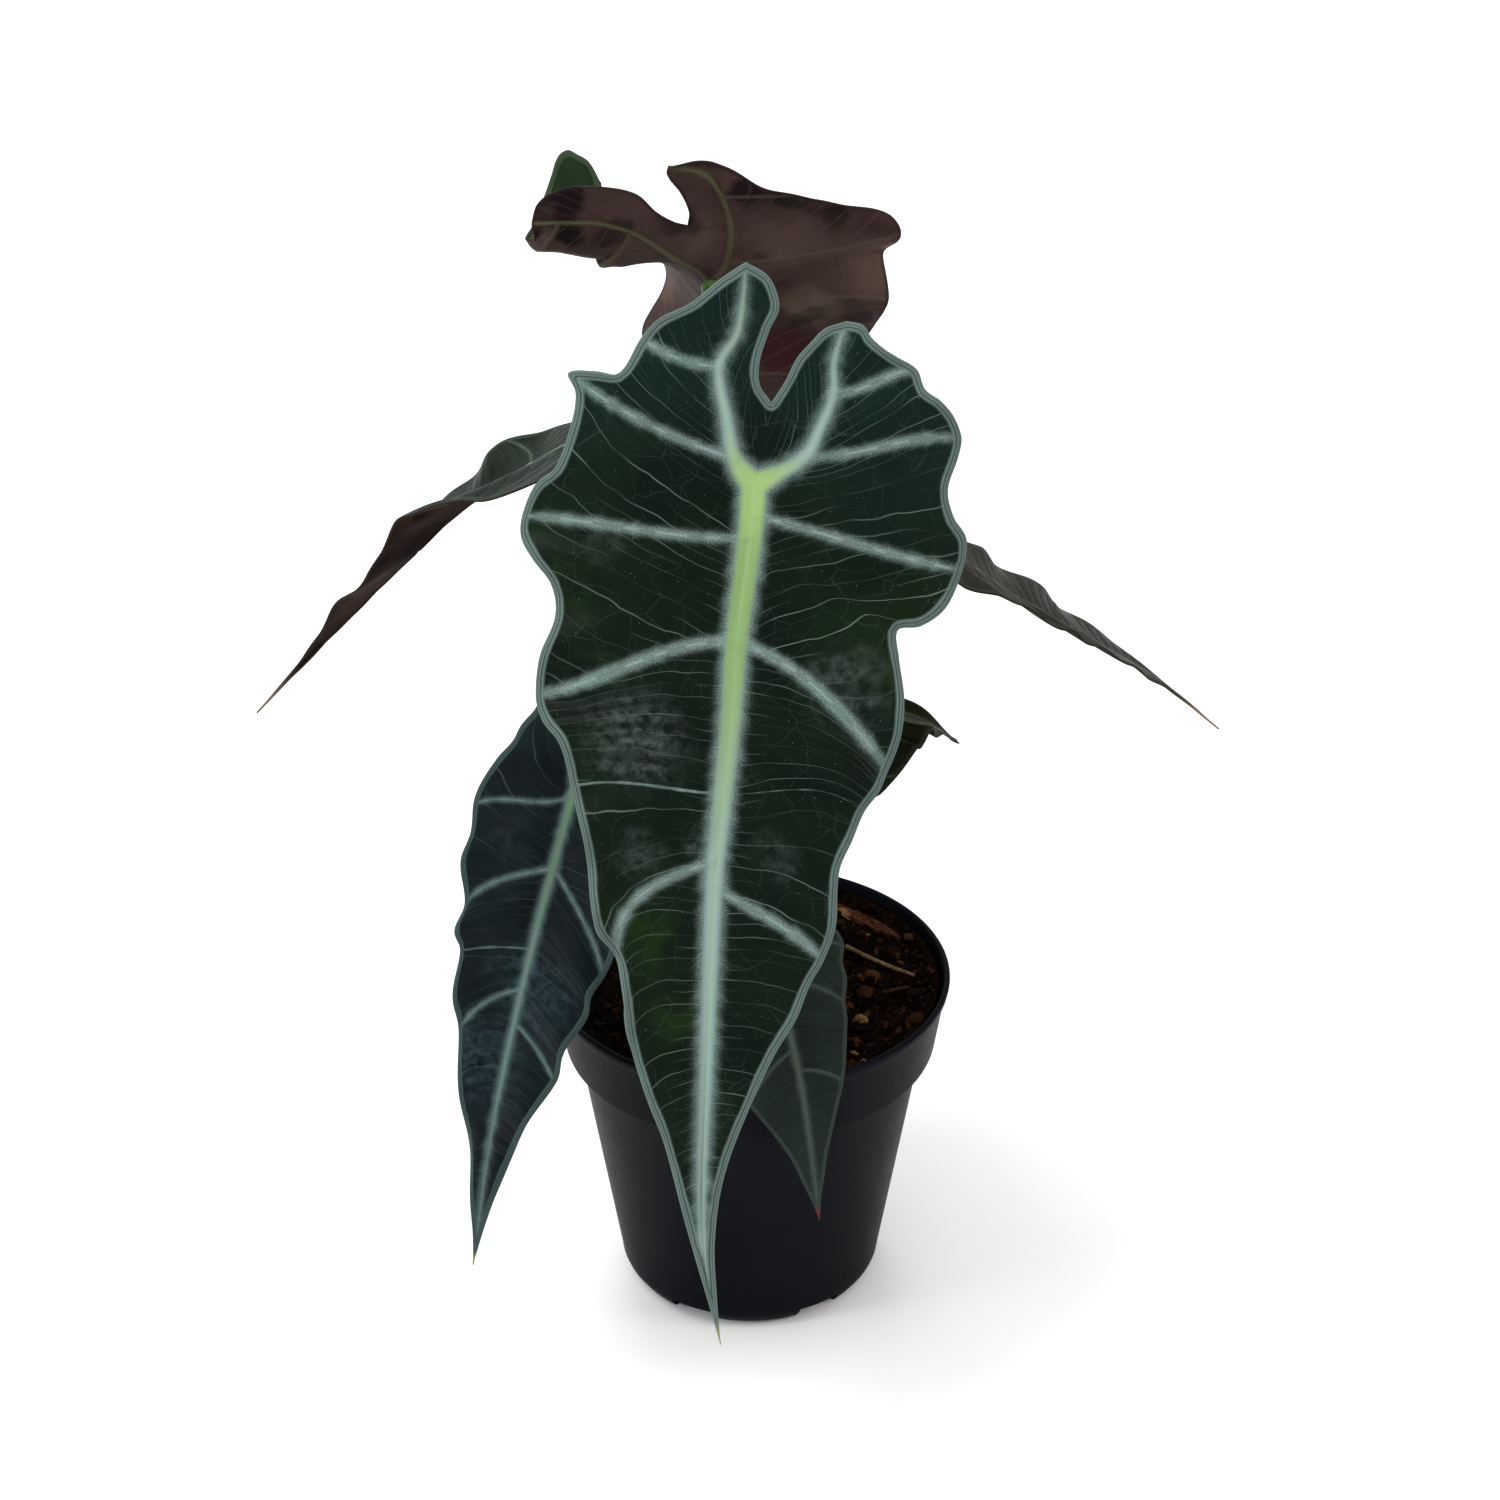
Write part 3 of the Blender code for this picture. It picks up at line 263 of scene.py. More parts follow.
# %% The seven leaves
# Each row of a path gives a distance along the blade from the junction, negative towards the
# lobes, the place of the midrib, and the rise and the further turn of the left and right half.
# Heading is the compass direction that the blade faces, and crown is the petiole's place in the
# ring, both in degrees from +X. Wave and quilt are the heights of the margin's waves and of the
# panels' bulges. A petiole has its radius at the foot and at the top, and how long its curve's
# handle is at each.
LEAVES = {
    "front": {
        "blade": own_blade(FRONT_MIDRIB, FRONT_LEFT, FRONT_RIGHT),
        "heading": -90,
        "path": [
            (-60, (1, -42, 350), (4, 4), (-8, -8)), (0, (1, -60, 293), (5, 5), (-14, -14)),
            (60, (1, -83, 237), (6, 6), (-16, -16)), (120, (1, -103, 181), (8, 8), (-20, -20)),
            (180, (1, -118.5, 122.5), (8, 8), (-20, -20)), (236, (1, -130, 67.5), (4, 4), (0, 0)),
        ],
        "wave": 1.7, "quilt": 1.4, "seed": 11, "crown": -90, "petiole": (4.2, 2.7, 95, 42),
    },
    "lower_left": {
        "blade": common_blade(32, 155, 42),
        "heading": -125,
        "path": [
            (-44, (-38, -36, 237), (4, 4), (-8, -8)), (0, (-48, -45, 195), (5, 5), (-14, -14)),
            (50, (-61, -55, 147), (7, 7), (-18, -18)), (100, (-72, -62, 99), (8, 8), (-18, -18)),
            (155, (-81, -66, 45), (4, 4), (0, 0)),
        ],
        "wave": 1.5, "quilt": 1.1, "seed": 23, "crown": 220, "petiole": (4.0, 2.4, 60, 34),
    },
    "back": {
        "blade": own_blade(BACK_MIDRIB, BACK_LEFT, BACK_RIGHT),
        "heading": 90,
        "path": [
            (-50, (-11, 37, 350), (2, -17), (4, 25)), (-12, (-11, 50.5, 314.5), (2, -17), (0, 25)),
            (-2, (-11, 54.3, 305), (2, 20), (-3, 10)), (8, (-11, 58, 295.5), (2, 56), (-8, 0)),
            (40, (-10, 69, 265.5), (5, 60), (-14, 0)), (110, (-6, 90, 199), (8, 40), (-16, -10)),
            (190, (0, 104, 120), (6, 20), (0, 0)),
        ],
        "roll": {"point": (39, -21), "heading": 21, "radius": 6.0, "turn": 120},
        "wave": 1.8, "quilt": 1.3, "seed": 37, "crown": 95, "petiole": (4.2, 2.6, 95, 20),
    },
    "left": {
        "blade": common_blade(33, 178, 38),
        "heading": 152,
        "path": [
            (-40, (-13, -1, 297.5), (-6, -8), (0, 0)), (0, (-42, 15, 275), (-2, -6.7), (0, 0)),
            (16, (-53.8, 21.7, 265.7), (1.8, -0.6), (0, 0)),
            (30, (-63.7, 27.3, 257.5), (5.2, 4.9), (0, 0)),
            (42, (-71.8, 31.9, 250.6), (9.2, 10.1), (0, 0)),
            (54, (-79.7, 36.3, 243.3), (21.5, 16.8), (0, 0)),
            (66, (-87.3, 40.4, 235.1), (16.2, 17.8), (0, 0)),
            (76, (-93.4, 43.5, 227.7), (19.8, 12.2), (0, 0)),
            (83, (-97.6, 45.7, 222.5), (19, 9.6), (0, 0)),
            (92, (-103, 48.6, 215.8), (10.9, 8.7), (0, 0)),
            (105, (-110.9, 52.8, 205.9), (10.5, 15), (0, 0)),
            (117, (-118, 56.5, 196.7), (10.1, 19.7), (0, 0)),
            (130, (-125.7, 60.3, 187.1), (9.6, 15.2), (0, 0)),
            (151, (-138, 66, 172), (8.9, 9.6), (0, 0)), (178, (-154, 74, 152), (8, 8), (0, 0)),
        ],
        "wave": 0.6, "quilt": 1.0, "seed": 41, "crown": 160, "petiole": (4.0, 2.5, 90, 38),
    },
    "right": {
        "blade": common_blade(32, 173, 40),
        "heading": 37,
        "path": [
            (-42, (20, -3, 272), (-16, 4), (0, 0)), (4, (47.4, 18.9, 242.4), (-17.5, 8.6), (0, 0)),
            (16, (54.4, 24.6, 234.5), (-6.5, 10.4), (0, 0)),
            (42, (69.7, 36.7, 217.4), (-5.1, 14.6), (0, 0)),
            (57, (78.9, 43.7, 207.7), (-1.9, 18.4), (0, 0)),
            (68, (85.8, 48.9, 200.7), (-1.5, 15.7), (0, 0)),
            (86, (97.4, 57.5, 189.6), (-1.5, 21.2), (0, 0)),
            (96, (103.6, 62.3, 183.7), (-1.1, 14.6), (0, 0)),
            (117, (116.4, 72, 171.2), (-5.1, 19), (0, 0)),
            (130, (124.5, 77.8, 162.9), (-6, 14.4), (0, 0)),
            (147, (135, 85, 151.7), (-4.4, 6.7), (0, 0)), (173, (150, 95, 134.5), (-2, 3), (0, 0)),
        ],
        "wave": 0.5, "quilt": 0.8, "seed": 53, "crown": 28, "petiole": (4.0, 2.5, 85, 38),
    },
    "small_right": {
        "blade": common_blade(21, 52, 20, fuller=1.4),
        "heading": 26,
        "path": [
            (-20, (2, -42, 214), (-20, 2), (-30, 0)), (0, (20, -34, 212.5), (-36, 6), (-30, 0)),
            (10, (28.3, -29.5, 210.5), (-46, 8), (-30, 0)),
            (21, (37.2, -24.5, 207), (6, 10), (0, 0)), (34, (47.5, -18.5, 200.5), (8, 20), (0, 0)),
            (52, (60, -10, 188.5), (4, 30), (0, 0)),
        ],
        "wave": 1.6, "quilt": 0.6, "seed": 67, "crown": -12, "petiole": (2.4, 1.5, 60, 24),
    },
    "small_front": {
        "blade": common_blade(22, 88, 24, fuller=1.3),
        "heading": -75,
        "path": [
            (-26, (0, -43, 176), (4, 4), (-12, -12)), (0, (4, -50, 151), (5, 5), (-20, -20)),
            (44, (14, -66, 111), (8, 8), (-20, -20)), (88, (20, -75, 68), (4, 4), (0, 0)),
        ],
        "wave": 1.1, "quilt": 0.6, "seed": 71, "crown": -50, "petiole": (2.5, 1.6, 26, 12),
    },
}

print("leaves:", ", ".join(LEAVES))

# %% [markdown]
# ## A blade as a grid
# A flat point on a blade is named by three things: its half, how far along the spine its rib
# starts, and how far across it lies, from 0 on the spine to 1 on the margin. The spine is the
# midrib and then the lobe's own vein. Ribs run from the spine to the margin, and they meet both at
# each primary vein, so the grid follows the veins. The sums are the same as the solids', with
# far more rows, because a finer grid can carry the waves and the veins' relief.

# %% The blade's flat grid
# About how long a wave of the margin is, and how far out a half has made its further turn, in
# millimetres, and in how many steps it is summed.
WAVE_LENGTH = 30.0
BEND_REACH = 50.0
BEND_STEPS = 10
# Between these places, measured sideways from the roll's point, the roll grows to its full turn.
ROLL_START, ROLL_END = -17.0, -11.0
# Shares of the leaf's wave height: the least and greatest draw at a vein, and the lobe's end.
WAVE_SPREAD = (0.7, 1.3)
LOBE_WAVE = 0.5


class Blade:
    """One leaf blade: flat lines, laid out in space along the leaf's path."""

    def __init__(self, leaf):
        self.lines = leaf["blade"]
        self.wave, self.quilt = leaf["wave"], leaf["quilt"]
        self.roll = leaf.get("roll")
        self.heading = math.radians(leaf["heading"])
        rows = leaf["path"]
        self.knots = [row[0] for row in rows]
        self.places, self.rises, self.turns = ([row[item] for row in rows] for item in (1, 2, 3))
        draw = random.Random(leaf["seed"])
        self.midrib = self.lines["midrib"]
        self.ties = {side: self.make_ties(side, draw) for side in SIDES}

    def make_ties(self, side, draw):
        """(spine length, margin length, bow, wave height, vein) at the tip, veins and lobe."""
        half = self.lines[side]
        starts = dict(self.lines["starts"][side])
        for vein, knot in half["lobe"].marks.items():
            starts.setdefault(vein, self.midrib.length + knot)
        ties = [(0.0, 0.0, (0.0, 0.0), 0.0, "tip")]
        for vein in sorted(half["margin"].marks, key=lambda name: -int(name)):
            height = draw.uniform(*WAVE_SPREAD)
            margin = half["margin"].marks[vein]
            ties.append((starts[vein], margin, half["bow"][vein], height, vein))
        end = self.midrib.length + half["lobe"].length
        ties.append((end, half["margin"].length, (0.0, 0.0), LOBE_WAVE, "lobe"))
        return ties

    def tie(self, side, along):
        """The interval between veins that holds this spine length, and how far along it is."""
        ties = self.ties[side]
        index = 0
        while index < len(ties) - 2 and along > ties[index + 1][0]:
            index += 1
        low, high = ties[index], ties[index + 1]
        return low, high, min(max((along - low[0]) / (high[0] - low[0]), 0.0), 1.0)

    def spine(self, side, along):
        if along <= self.midrib.length:
            return self.midrib.at(along)[0]
        return self.lines[side]["lobe"].at(along - self.midrib.length)[0]

    def rib(self, side, along, across):
        """Flat points and lifts of one rib, from the spine to the margin."""
        low, high, part = self.tie(side, along)
        start = self.spine(side, along)
        line = self.lines[side]["margin"].at(low[1] + (high[1] - low[1]) * part)[0] - start
        bow, lean = (low[2][k] + (high[2][k] - low[2][k]) * part for k in (0, 1))
        bow = (bow + lean * (1 - 2 * across)) * (1 if side == "left" else -1)
        outward = np.array([line[1], -line[0]])
        flat = start + np.outer(across, line) + np.outer(4 * across * (1 - across) * bow, outward)
        count = max(1, round((high[1] - low[1]) / WAVE_LENGTH))
        height = low[3] + (high[3] - low[3]) * part
        bulge = self.quilt * math.sin(math.pi * part) ** 2 * 4 * across * (1 - across)
        lift = bulge - self.wave * height * math.cos(2 * math.pi * count * part) * across**2
        return flat, lift

    def inner_rib(self, side, along, across):
        """The same between the lobe's vein and the sinus, which lies level."""
        lobe, sinus = self.lines[side]["lobe"], self.lines[side]["sinus"]
        part = (along - self.midrib.length) / lobe.length
        start = self.spine(side, along)
        line = sinus.at(part * sinus.length)[0] - start
        return start + np.outer(across, line), np.zeros(len(across))

    def stations(self, sides, low, high, step):
        """The spine lengths of the ribs: one at each vein, and even steps between them."""
        breaks = sorted({low, high} | {tie[0] for side in sides for tie in self.ties[side]})
        breaks = [knot for knot in breaks if low <= knot <= high]
        stations = []
        for before, after in zip(breaks, breaks[1:]):
            longest = max([after - before] + [self.margin_step(s, before, after) for s in sides])
            count = max(1, round(longest / step))
            stations += [before + (after - before) * k / count for k in range(count)]
        return stations + [high]

    def margin_step(self, side, before, after):
        ends = []
        for along in (before, after):
            low, high, part = self.tie(side, along)
            ends.append(low[1] + (high[1] - low[1]) * part)
        return ends[1] - ends[0]

    def frames(self, v):
        """At each v: the midrib's place, the right half's direction and the upper face's."""
        places, before, after = (hermite(self.knots, self.places, v + d) for d in (0, -1, 1))
        ahead = after - before
        ahead /= np.linalg.norm(ahead, axis=1)[:, None]
        side = np.array([-math.sin(self.heading), math.cos(self.heading), 0.0])
        side = side - ahead * (ahead @ side)[:, None]
        side /= np.linalg.norm(side, axis=1)[:, None]
        return places, side, np.cross(ahead, side)

    def rolled(self, flat, lift):
        """Where flat points lie once the lobe's outer edge is rolled over the upper face."""
        if not self.roll:
            return flat, lift
        heading = math.radians(self.roll["heading"])
        away = np.array([math.sin(heading), math.cos(heading)])
        offset = flat - np.array(self.roll["point"])
        beyond = np.maximum(offset @ away, 0.0)
        sideways = offset @ np.array([away[1], -away[0]])
        share = np.clip((sideways - ROLL_START) / (ROLL_END - ROLL_START), 0, 1)
        share = np.maximum(share * share * (3 - 2 * share), 1e-6)
        radius = self.roll["radius"] / share
        angle = np.minimum(beyond / radius, math.radians(self.roll["turn"]) * share)
        rest = beyond - radius * angle
        reach = radius * np.sin(angle) + rest * np.cos(angle) - lift * np.sin(angle)
        height = radius * (1 - np.cos(angle)) + rest * np.sin(angle) + lift * np.cos(angle)
        return flat + away * (reach - beyond)[:, None], height

    def place(self, flat, lift):
        """The places in space of flat points, raised by lift above the blade."""
        flat, lift = self.rolled(flat, lift)
        centre, side, up = self.frames(flat[:, 1])
        order = np.argsort(self.midrib.points[:, 1])
        rows = self.midrib.points[order]
        middle = np.interp(flat[:, 1], rows[:, 1], rows[:, 0])
        width = flat[:, 0] - middle
        half = (width >= 0).astype(int)
        pick = np.arange(len(flat))
        rise = np.radians(hermite(self.knots, self.rises, flat[:, 1])[pick, half])
        turn = np.radians(hermite(self.knots, self.turns, flat[:, 1])[pick, half])
        step = np.abs(width) / BEND_STEPS
        sideways, upward = np.zeros(len(flat)), np.zeros(len(flat))
        for index in range(BEND_STEPS):
            angle = rise + turn * ((index + 0.5) * step / BEND_REACH) ** 2
            sideways += np.cos(angle) * step
            upward += np.sin(angle) * step
        angle = rise + turn * (np.abs(width) / BEND_REACH) ** 2
        sideways -= np.sin(angle) * lift
        upward += np.cos(angle) * lift
        across = middle + np.copysign(sideways, width)
        return centre + side * across[:, None] + up * upward[:, None]


BLADES = {name: Blade(leaf) for name, leaf in LEAVES.items()}
for name, blade in BLADES.items():
    print(f"{name}: {blade.midrib.length:.0f} mm from tip to junction")

# %% [markdown]
# ## Measuring distances to the veins
# The pale bands follow the midrib, the lobes' veins and the laterals, and one more follows the
# margin. On the real leaf they are one pattern grown into the blade. They could be drawn as an
# image, but here each point of the blade stores how far it lies from each kind of line. The
# material then draws the bands from those distances, sharp at any size.

# %% Distances from points to lines
def nearest(points, line):
    """Each point's distance from a flat polyline, and how far along it the nearest place is."""
    starts, steps = line[:-1], np.diff(line, axis=0)
    lengths = np.maximum(np.linalg.norm(steps, axis=1), 1e-6)
    reached = np.concatenate([[0.0], np.cumsum(lengths)])[:-1]
    best, where = np.full(len(points), 1e6), np.zeros(len(points))
    for start, step, length, before in zip(starts, steps, lengths, reached):
        offset = points - start
        t = np.clip(offset @ step / length**2, 0, 1)
        distance = np.linalg.norm(offset - t[:, None] * step, axis=1)
        closer = distance < best
        best[closer] = distance[closer]
        where[closer] = before + t[closer] * length
    return best, where


test_line = np.array([[0.0, 0.0], [0.0, 9.0]])
print("a point 3 mm off a line:", nearest(np.array([[3.0, 5.0]]), test_line))

# %% [markdown]
# ## The veins of a blade
# The midrib is widest at the junction and thins to the tip. Laterals are widest where they leave
# it, and the fifth pair is only a thread, so it gets a field of its own. A phase runs across each
# panel between two veins and grows by one from each fine vein to the next, so one number per point
# is enough to draw dozens of fine veins. They leave the midrib and the laterals' upper sides and
# sweep up towards the margin, each panel by its own amount.

# %% The veins' widths and the fine veins' phase
# The bands' half widths on a large leaf, in millimetres: the laterals' at parts of their length,
# times each one's own share, the midrib's at places from the tip, and the lobes' at parts again.
VEIN_WIDTH = {"6": 1.25, "5": 0.3, "4": 1.45, "3": 1.0, "2": 1.05, "1": 1.1}
THREAD = "5"
LATERAL_PARTS = [0.0, 0.1, 0.35, 0.7, 0.9, 1.0]
LATERAL_WIDTHS = [1.3, 0.75, 0.85, 0.95, 0.75, 0.35]
MIDRIB_PLACES = [0, 25, 60, 95, 130, 190, 237]
MIDRIB_WIDTHS = [0.9, 1.5, 2.1, 2.5, 2.8, 3.4, 3.9]
LOBE_PARTS = [0.0, 0.15, 0.5, 0.8, 1.0]
LOBE_WIDTHS = [3.9, 2.4, 1.7, 1.2, 0.5]
# How far apart the fine veins are, and how far they sweep up in the panel that starts at each vein.
FINE_PITCH = 6.2
FINE_SWEEP = {"tip": 0.12, "6": 0.16, "5": 0.22, "4": 0.95, "3": 0.85, "2": 0.7, "1": 0.6}
SWEEP_POWER = 0.8
# A distance beyond every band, how much fainter the right half's thread is, and the steps that
# keep the noise of two veins, two panels or two halves from being alike.
FAR = 40.0
THREAD_FADE = 0.35
VEIN_STEP, PANEL_STEP, HALF_STEP = 61.3, 31, 400


def midrib_fields(blade, scale, slim, flat):
    """Distances outside the midrib's and lobes' band, places along it, and distances from it."""
    length = blade.midrib.length
    middle, run = nearest(flat, blade.midrib.at(np.linspace(0, length, 70)))
    half = np.interp(run * MIDRIB_PLACES[-1] / length, MIDRIB_PLACES, MIDRIB_WIDTHS)
    midrib = middle - half * scale * slim
    for name in SIDES:
        lobe = blade.lines[name]["lobe"]
        best, where = nearest(flat, lobe.at(np.linspace(0, lobe.length, 30)))
        half = np.interp(where / lobe.length, LOBE_PARTS, LOBE_WIDTHS) * scale * slim
        closer = best - half < midrib
        midrib[closer], middle[closer] = (best - half)[closer], best[closer]
        run[closer] = length + where[closer]
    return midrib, run, middle


def lateral_fields(blade, scale, slim, flat, side):
    """The same for the laterals' bands, and the distances from the fifth pair, the thread."""
    lateral, groove, thread = (np.full(len(flat), FAR) for _ in range(3))
    run = np.zeros(len(flat))
    for number, name in enumerate(SIDES):
        here = np.flatnonzero(side == number)
        for tie in blade.ties[name][1:-1]:
            line = blade.rib(name, tie[0], np.linspace(0, 1, 32))[0]
            best, where = nearest(flat[here], line)
            if tie[4] == THREAD:
                thread[here] = best + THREAD_FADE * number
                continue
            total = np.linalg.norm(np.diff(line, axis=0), axis=1).sum()
            half = np.interp(where / total, LATERAL_PARTS, LATERAL_WIDTHS)
            half = half * VEIN_WIDTH[tie[4]] * scale * slim
            closer = best - half < lateral[here]
            lateral[here[closer]], groove[here[closer]] = (best - half)[closer], best[closer]
            run[here[closer]] = where[closer] + VEIN_STEP * int(tie[4]) + HALF_STEP * number
    return lateral, run, groove, thread


print("the midrib's band at the junction:", 2 * MIDRIB_WIDTHS[-1], "mm across")

# %% [markdown]
# ## All the fields of a blade
# Two more fields complete the set: the distance from the margin, and the phase of the fine veins.
# Each field is one number for each point, and the mesh keeps them all as attributes, because a
# material can read those without an image.

# %% The margin's distance and the fine veins' phase
def border_field(blade, flat):
    """Each point's distance from the margin."""
    border = np.full(len(flat), FAR)
    for name in SIDES:
        for kind in ("margin", "sinus"):
            line = blade.lines[name][kind]
            points = line.at(np.linspace(0, line.length, int(line.length / 2)))
            border = np.minimum(border, nearest(flat, points)[0])
    return border


def fine_phase(blade, scale, side, along, across):
    """The fine veins' phase, which grows by one from each fine vein to the next."""
    fine = np.zeros(len(side))
    for number, name in enumerate(SIDES):
        ties = blade.ties[name]
        for index, (low, high) in enumerate(zip(ties, ties[1:])):
            here = (side == number) & (along >= low[0]) & (along <= high[0] + 1e-6)
            span = along[here] if index == 0 else high[0] - low[0]
            swept = FINE_SWEEP[low[4]] * across[here] ** SWEEP_POWER * span
            fine[here] = (along[here] - low[0] - swept) / FINE_PITCH / scale
            fine[here] += PANEL_STEP * index + HALF_STEP * number
    return fine


def vein_fields(blade, scale, slim, flat, side, along, across):
    """All that the material reads from a blade's points, by name."""
    midrib, midrib_run, middle = midrib_fields(blade, scale, slim, flat)
    lateral, lateral_run, groove, thread = lateral_fields(blade, scale, slim, flat, side)
    bands = {"midrib": midrib, "midrib_run": midrib_run, "middle": middle, "lateral": lateral}
    bands |= {"lateral_run": lateral_run, "groove": groove, "thread": thread}
    fine = fine_phase(blade, scale, side, along, across)
    return {**bands, "border": border_field(blade, flat), "fine": fine, "across": across}


print("fine veins every", FINE_PITCH, "mm on the large leaf")

# %% [markdown]
# ## Relief
# The upper face stands up a little along the midrib and the laterals, and the panels between them
# are faintly puckered. The underside carries the veins as strong ridges. So the relief goes into
# the points' lift, and the ridges below go into a vertex group that a Solidify modifier reads.

# %% Relief and thickness
MIDRIB_RIDGE, LATERAL_RIDGE = 0.55, 0.28
PUCKER, PUCKER_SIZE = 0.22, 11.0
THICK, THIN = 3.0, 0.6
KEEL_DEPTH, VEIN_KEEL_DEPTH = 2.2, 0.9
# How far inside a band's edge its ridge or keel is full, and the width over which it rises.
MIDRIB_SLOPE, LATERAL_SLOPE = (1.2, 2.2), (0.9, 1.5)
KEEL_SLOPE, VEIN_KEEL_SLOPE = (2.2, 2.4), (1.0, 1.2)
# Over how many millimetres from the margin the relief and the keels fade in.
RELIEF_FADE, KEEL_FADE = 6, 4


def slope(distance, inside, width):
    """1 well inside a band, and 0 outside it."""
    return np.clip(1 - (distance + inside) / width, 0, 1)


def relief(fields, flat, seed):
    """How far each point of the upper face stands above the plain blade."""
    midrib = slope(fields["midrib"], *MIDRIB_SLOPE)
    lateral = slope(fields["lateral"], *LATERAL_SLOPE)
    fade = np.clip(fields["border"] / RELIEF_FADE, 0, 1)
    pucker = [noise.noise(Vector((u / PUCKER_SIZE, v / PUCKER_SIZE, seed))) for u, v in flat]
    ridge = MIDRIB_RIDGE * midrib * (2 - midrib) + LATERAL_RIDGE * lateral
    return ridge * fade + PUCKER * fade * np.array(pucker)


def keel(blade, fields, scale):
    """How thick the blade is at each point, as a share of its thickest."""
    along = fields["midrib_run"]
    length = blade.midrib.length
    depth = KEEL_DEPTH * np.where(along < length, 0.12 + 0.88 * (along / length) ** 1.2, 0.85)
    middle = slope(fields["midrib"], *KEEL_SLOPE)
    side = slope(fields["lateral"], *VEIN_KEEL_SLOPE) * (1 - 0.75 * fields["across"])
    extra = np.maximum(depth * middle**0.7, VEIN_KEEL_DEPTH * side) * scale
    fade = np.clip(fields["border"] / KEEL_FADE, 0, 1)
    return np.clip(extra * fade / (THICK - THIN), 0, 1)


print("blades from", THIN, "mm to", THIN + KEEL_DEPTH, "mm thick")

# %% [markdown]
# ## Making the mesh of a blade
# A grid operator gives the faces, and each of its points then takes its own place: one patch for
# each half from the spine to the margin, and a small one from each lobe's vein to the sinus. The
# patches share the points of the spine, so merging doubles joins them. Flat places go into a UV
# map and the distances into attributes, for the material to read.

# %% Mesh of one blade
# The flat map holds this many millimetres, with the junction this far from its corner.
FLAT_SPAN, FLAT_SHIFT = 400.0, 0.4
COLUMN_POWER = 1.25


def blade_patch(shape, layers, blade, side, stations, columns, inner):
    """A grid of flat points, which keep their half, place along and place across in layers."""
    rows = len(stations) - 1
    made = bmesh.ops.create_grid(shape, x_segments=rows, y_segments=columns, size=1.0)["verts"]
    across = (np.arange(columns + 1) / columns) ** COLUMN_POWER
    ribs = []
    for along in stations:
        ribs.append((blade.inner_rib if inner else blade.rib)(side, along, across))
    for vertex in made:
        row = round((vertex.co.x + 1) / 2 * rows)
        column = round((vertex.co.y + 1) / 2 * columns)
        flat, lift = ribs[row]
        vertex.co = (flat[column][0], flat[column][1], 0.0)
        vertex[layers["side"]] = 0.0 if side == "left" else 1.0
        vertex[layers["along"]] = stations[row]
        vertex[layers["across"]] = across[column]
        vertex[layers["lift"]] = lift[column]


def read(mesh, name):
    values = np.zeros(len(mesh.vertices), np.float32)
    mesh.attributes[name].data.foreach_get("value", values)
    return values.astype(float)


def store(mesh, name, values):
    made = mesh.attributes.new(name, "FLOAT", "POINT")
    made.data.foreach_set("value", values.astype(np.float32))


print("the flat map holds", FLAT_SPAN, "mm")

# %% [markdown]
# ## From the flat blade to the hanging one
# The patches are first made flat, where merging and measuring are simple. Only then does every
# point move to its place in the air, with its relief. The laid out face could come out facing
# down, so its normals are compared with the blade's upper side, and turned over if need be.

# %% A blade in its place
def blade_mesh(name, leaf, step, columns, scale, slim):
    """The upper face of a blade in its place, with its fields as attributes."""
    blade = BLADES[name]
    shape = bmesh.new()
    kept = ("side", "along", "across", "lift")
    layers = {key: shape.verts.layers.float.new(key) for key in kept}
    end = blade.midrib.length
    midrib = blade.stations(SIDES, 0.0, end, step)
    for side in SIDES:
        lobe_end = end + blade.lines[side]["lobe"].length
        lobe = blade.stations((side,), end, lobe_end, step)
        blade_patch(shape, layers, blade, side, midrib[:-1] + lobe, columns, False)
        blade_patch(shape, layers, blade, side, lobe, columns // 2, True)
    bmesh.ops.remove_doubles(shape, verts=shape.verts[:], dist=0.002)
    bmesh.ops.dissolve_degenerate(shape, edges=shape.edges[:], dist=0.002)
    bmesh.ops.recalc_face_normals(shape, faces=shape.faces[:])
    mesh = bpy.data.meshes.new(f"blade_{name}")
    shape.to_mesh(mesh)
    shape.free()

    flat = np.zeros(len(mesh.vertices) * 3, np.float32)
    mesh.vertices.foreach_get("co", flat)
    flat = flat.reshape(-1, 3)[:, :2].astype(float)
    side, along, across, lift = (read(mesh, key) for key in kept)
    fields = vein_fields(blade, scale, slim, flat, side, along, across)
    lift = lift + relief(fields, flat, leaf["seed"])
    points = blade.place(flat, lift) * MM
    mesh.vertices.foreach_set("co", points.astype(np.float32).ravel())
    for key in kept:
        mesh.attributes.remove(mesh.attributes[key])
    for key, values in fields.items():
        store(mesh, key, values)
    corners = np.zeros(len(mesh.loops), np.int32)
    mesh.loops.foreach_get("vertex_index", corners)
    spread = (flat / FLAT_SPAN + FLAT_SHIFT)[corners]
    mesh.uv_layers.new(name="flat").data.foreach_set("uv", spread.astype(np.float32).ravel())
    mesh.update()
    up = blade.frames(np.zeros(1))[2][0]
    normals = np.zeros(len(mesh.polygons) * 3, np.float32)
    areas = np.zeros(len(mesh.polygons), np.float32)
    mesh.polygons.foreach_get("normal", normals)
    mesh.polygons.foreach_get("area", areas)
    if (normals.reshape(-1, 3) @ up * areas).sum() < 0:
        mesh.flip_normals()
    mesh.shade_smooth()
    return mesh, keel(blade, fields, scale)


print("a blade's columns lie closer towards the spine, by the power", COLUMN_POWER)

# %% [markdown]
# ## Writing materials as sums
# A material is a graph of nodes. A long sum is hard to read as a graph, so one small class wraps a
# socket, and Python's own operators then add the Math nodes.

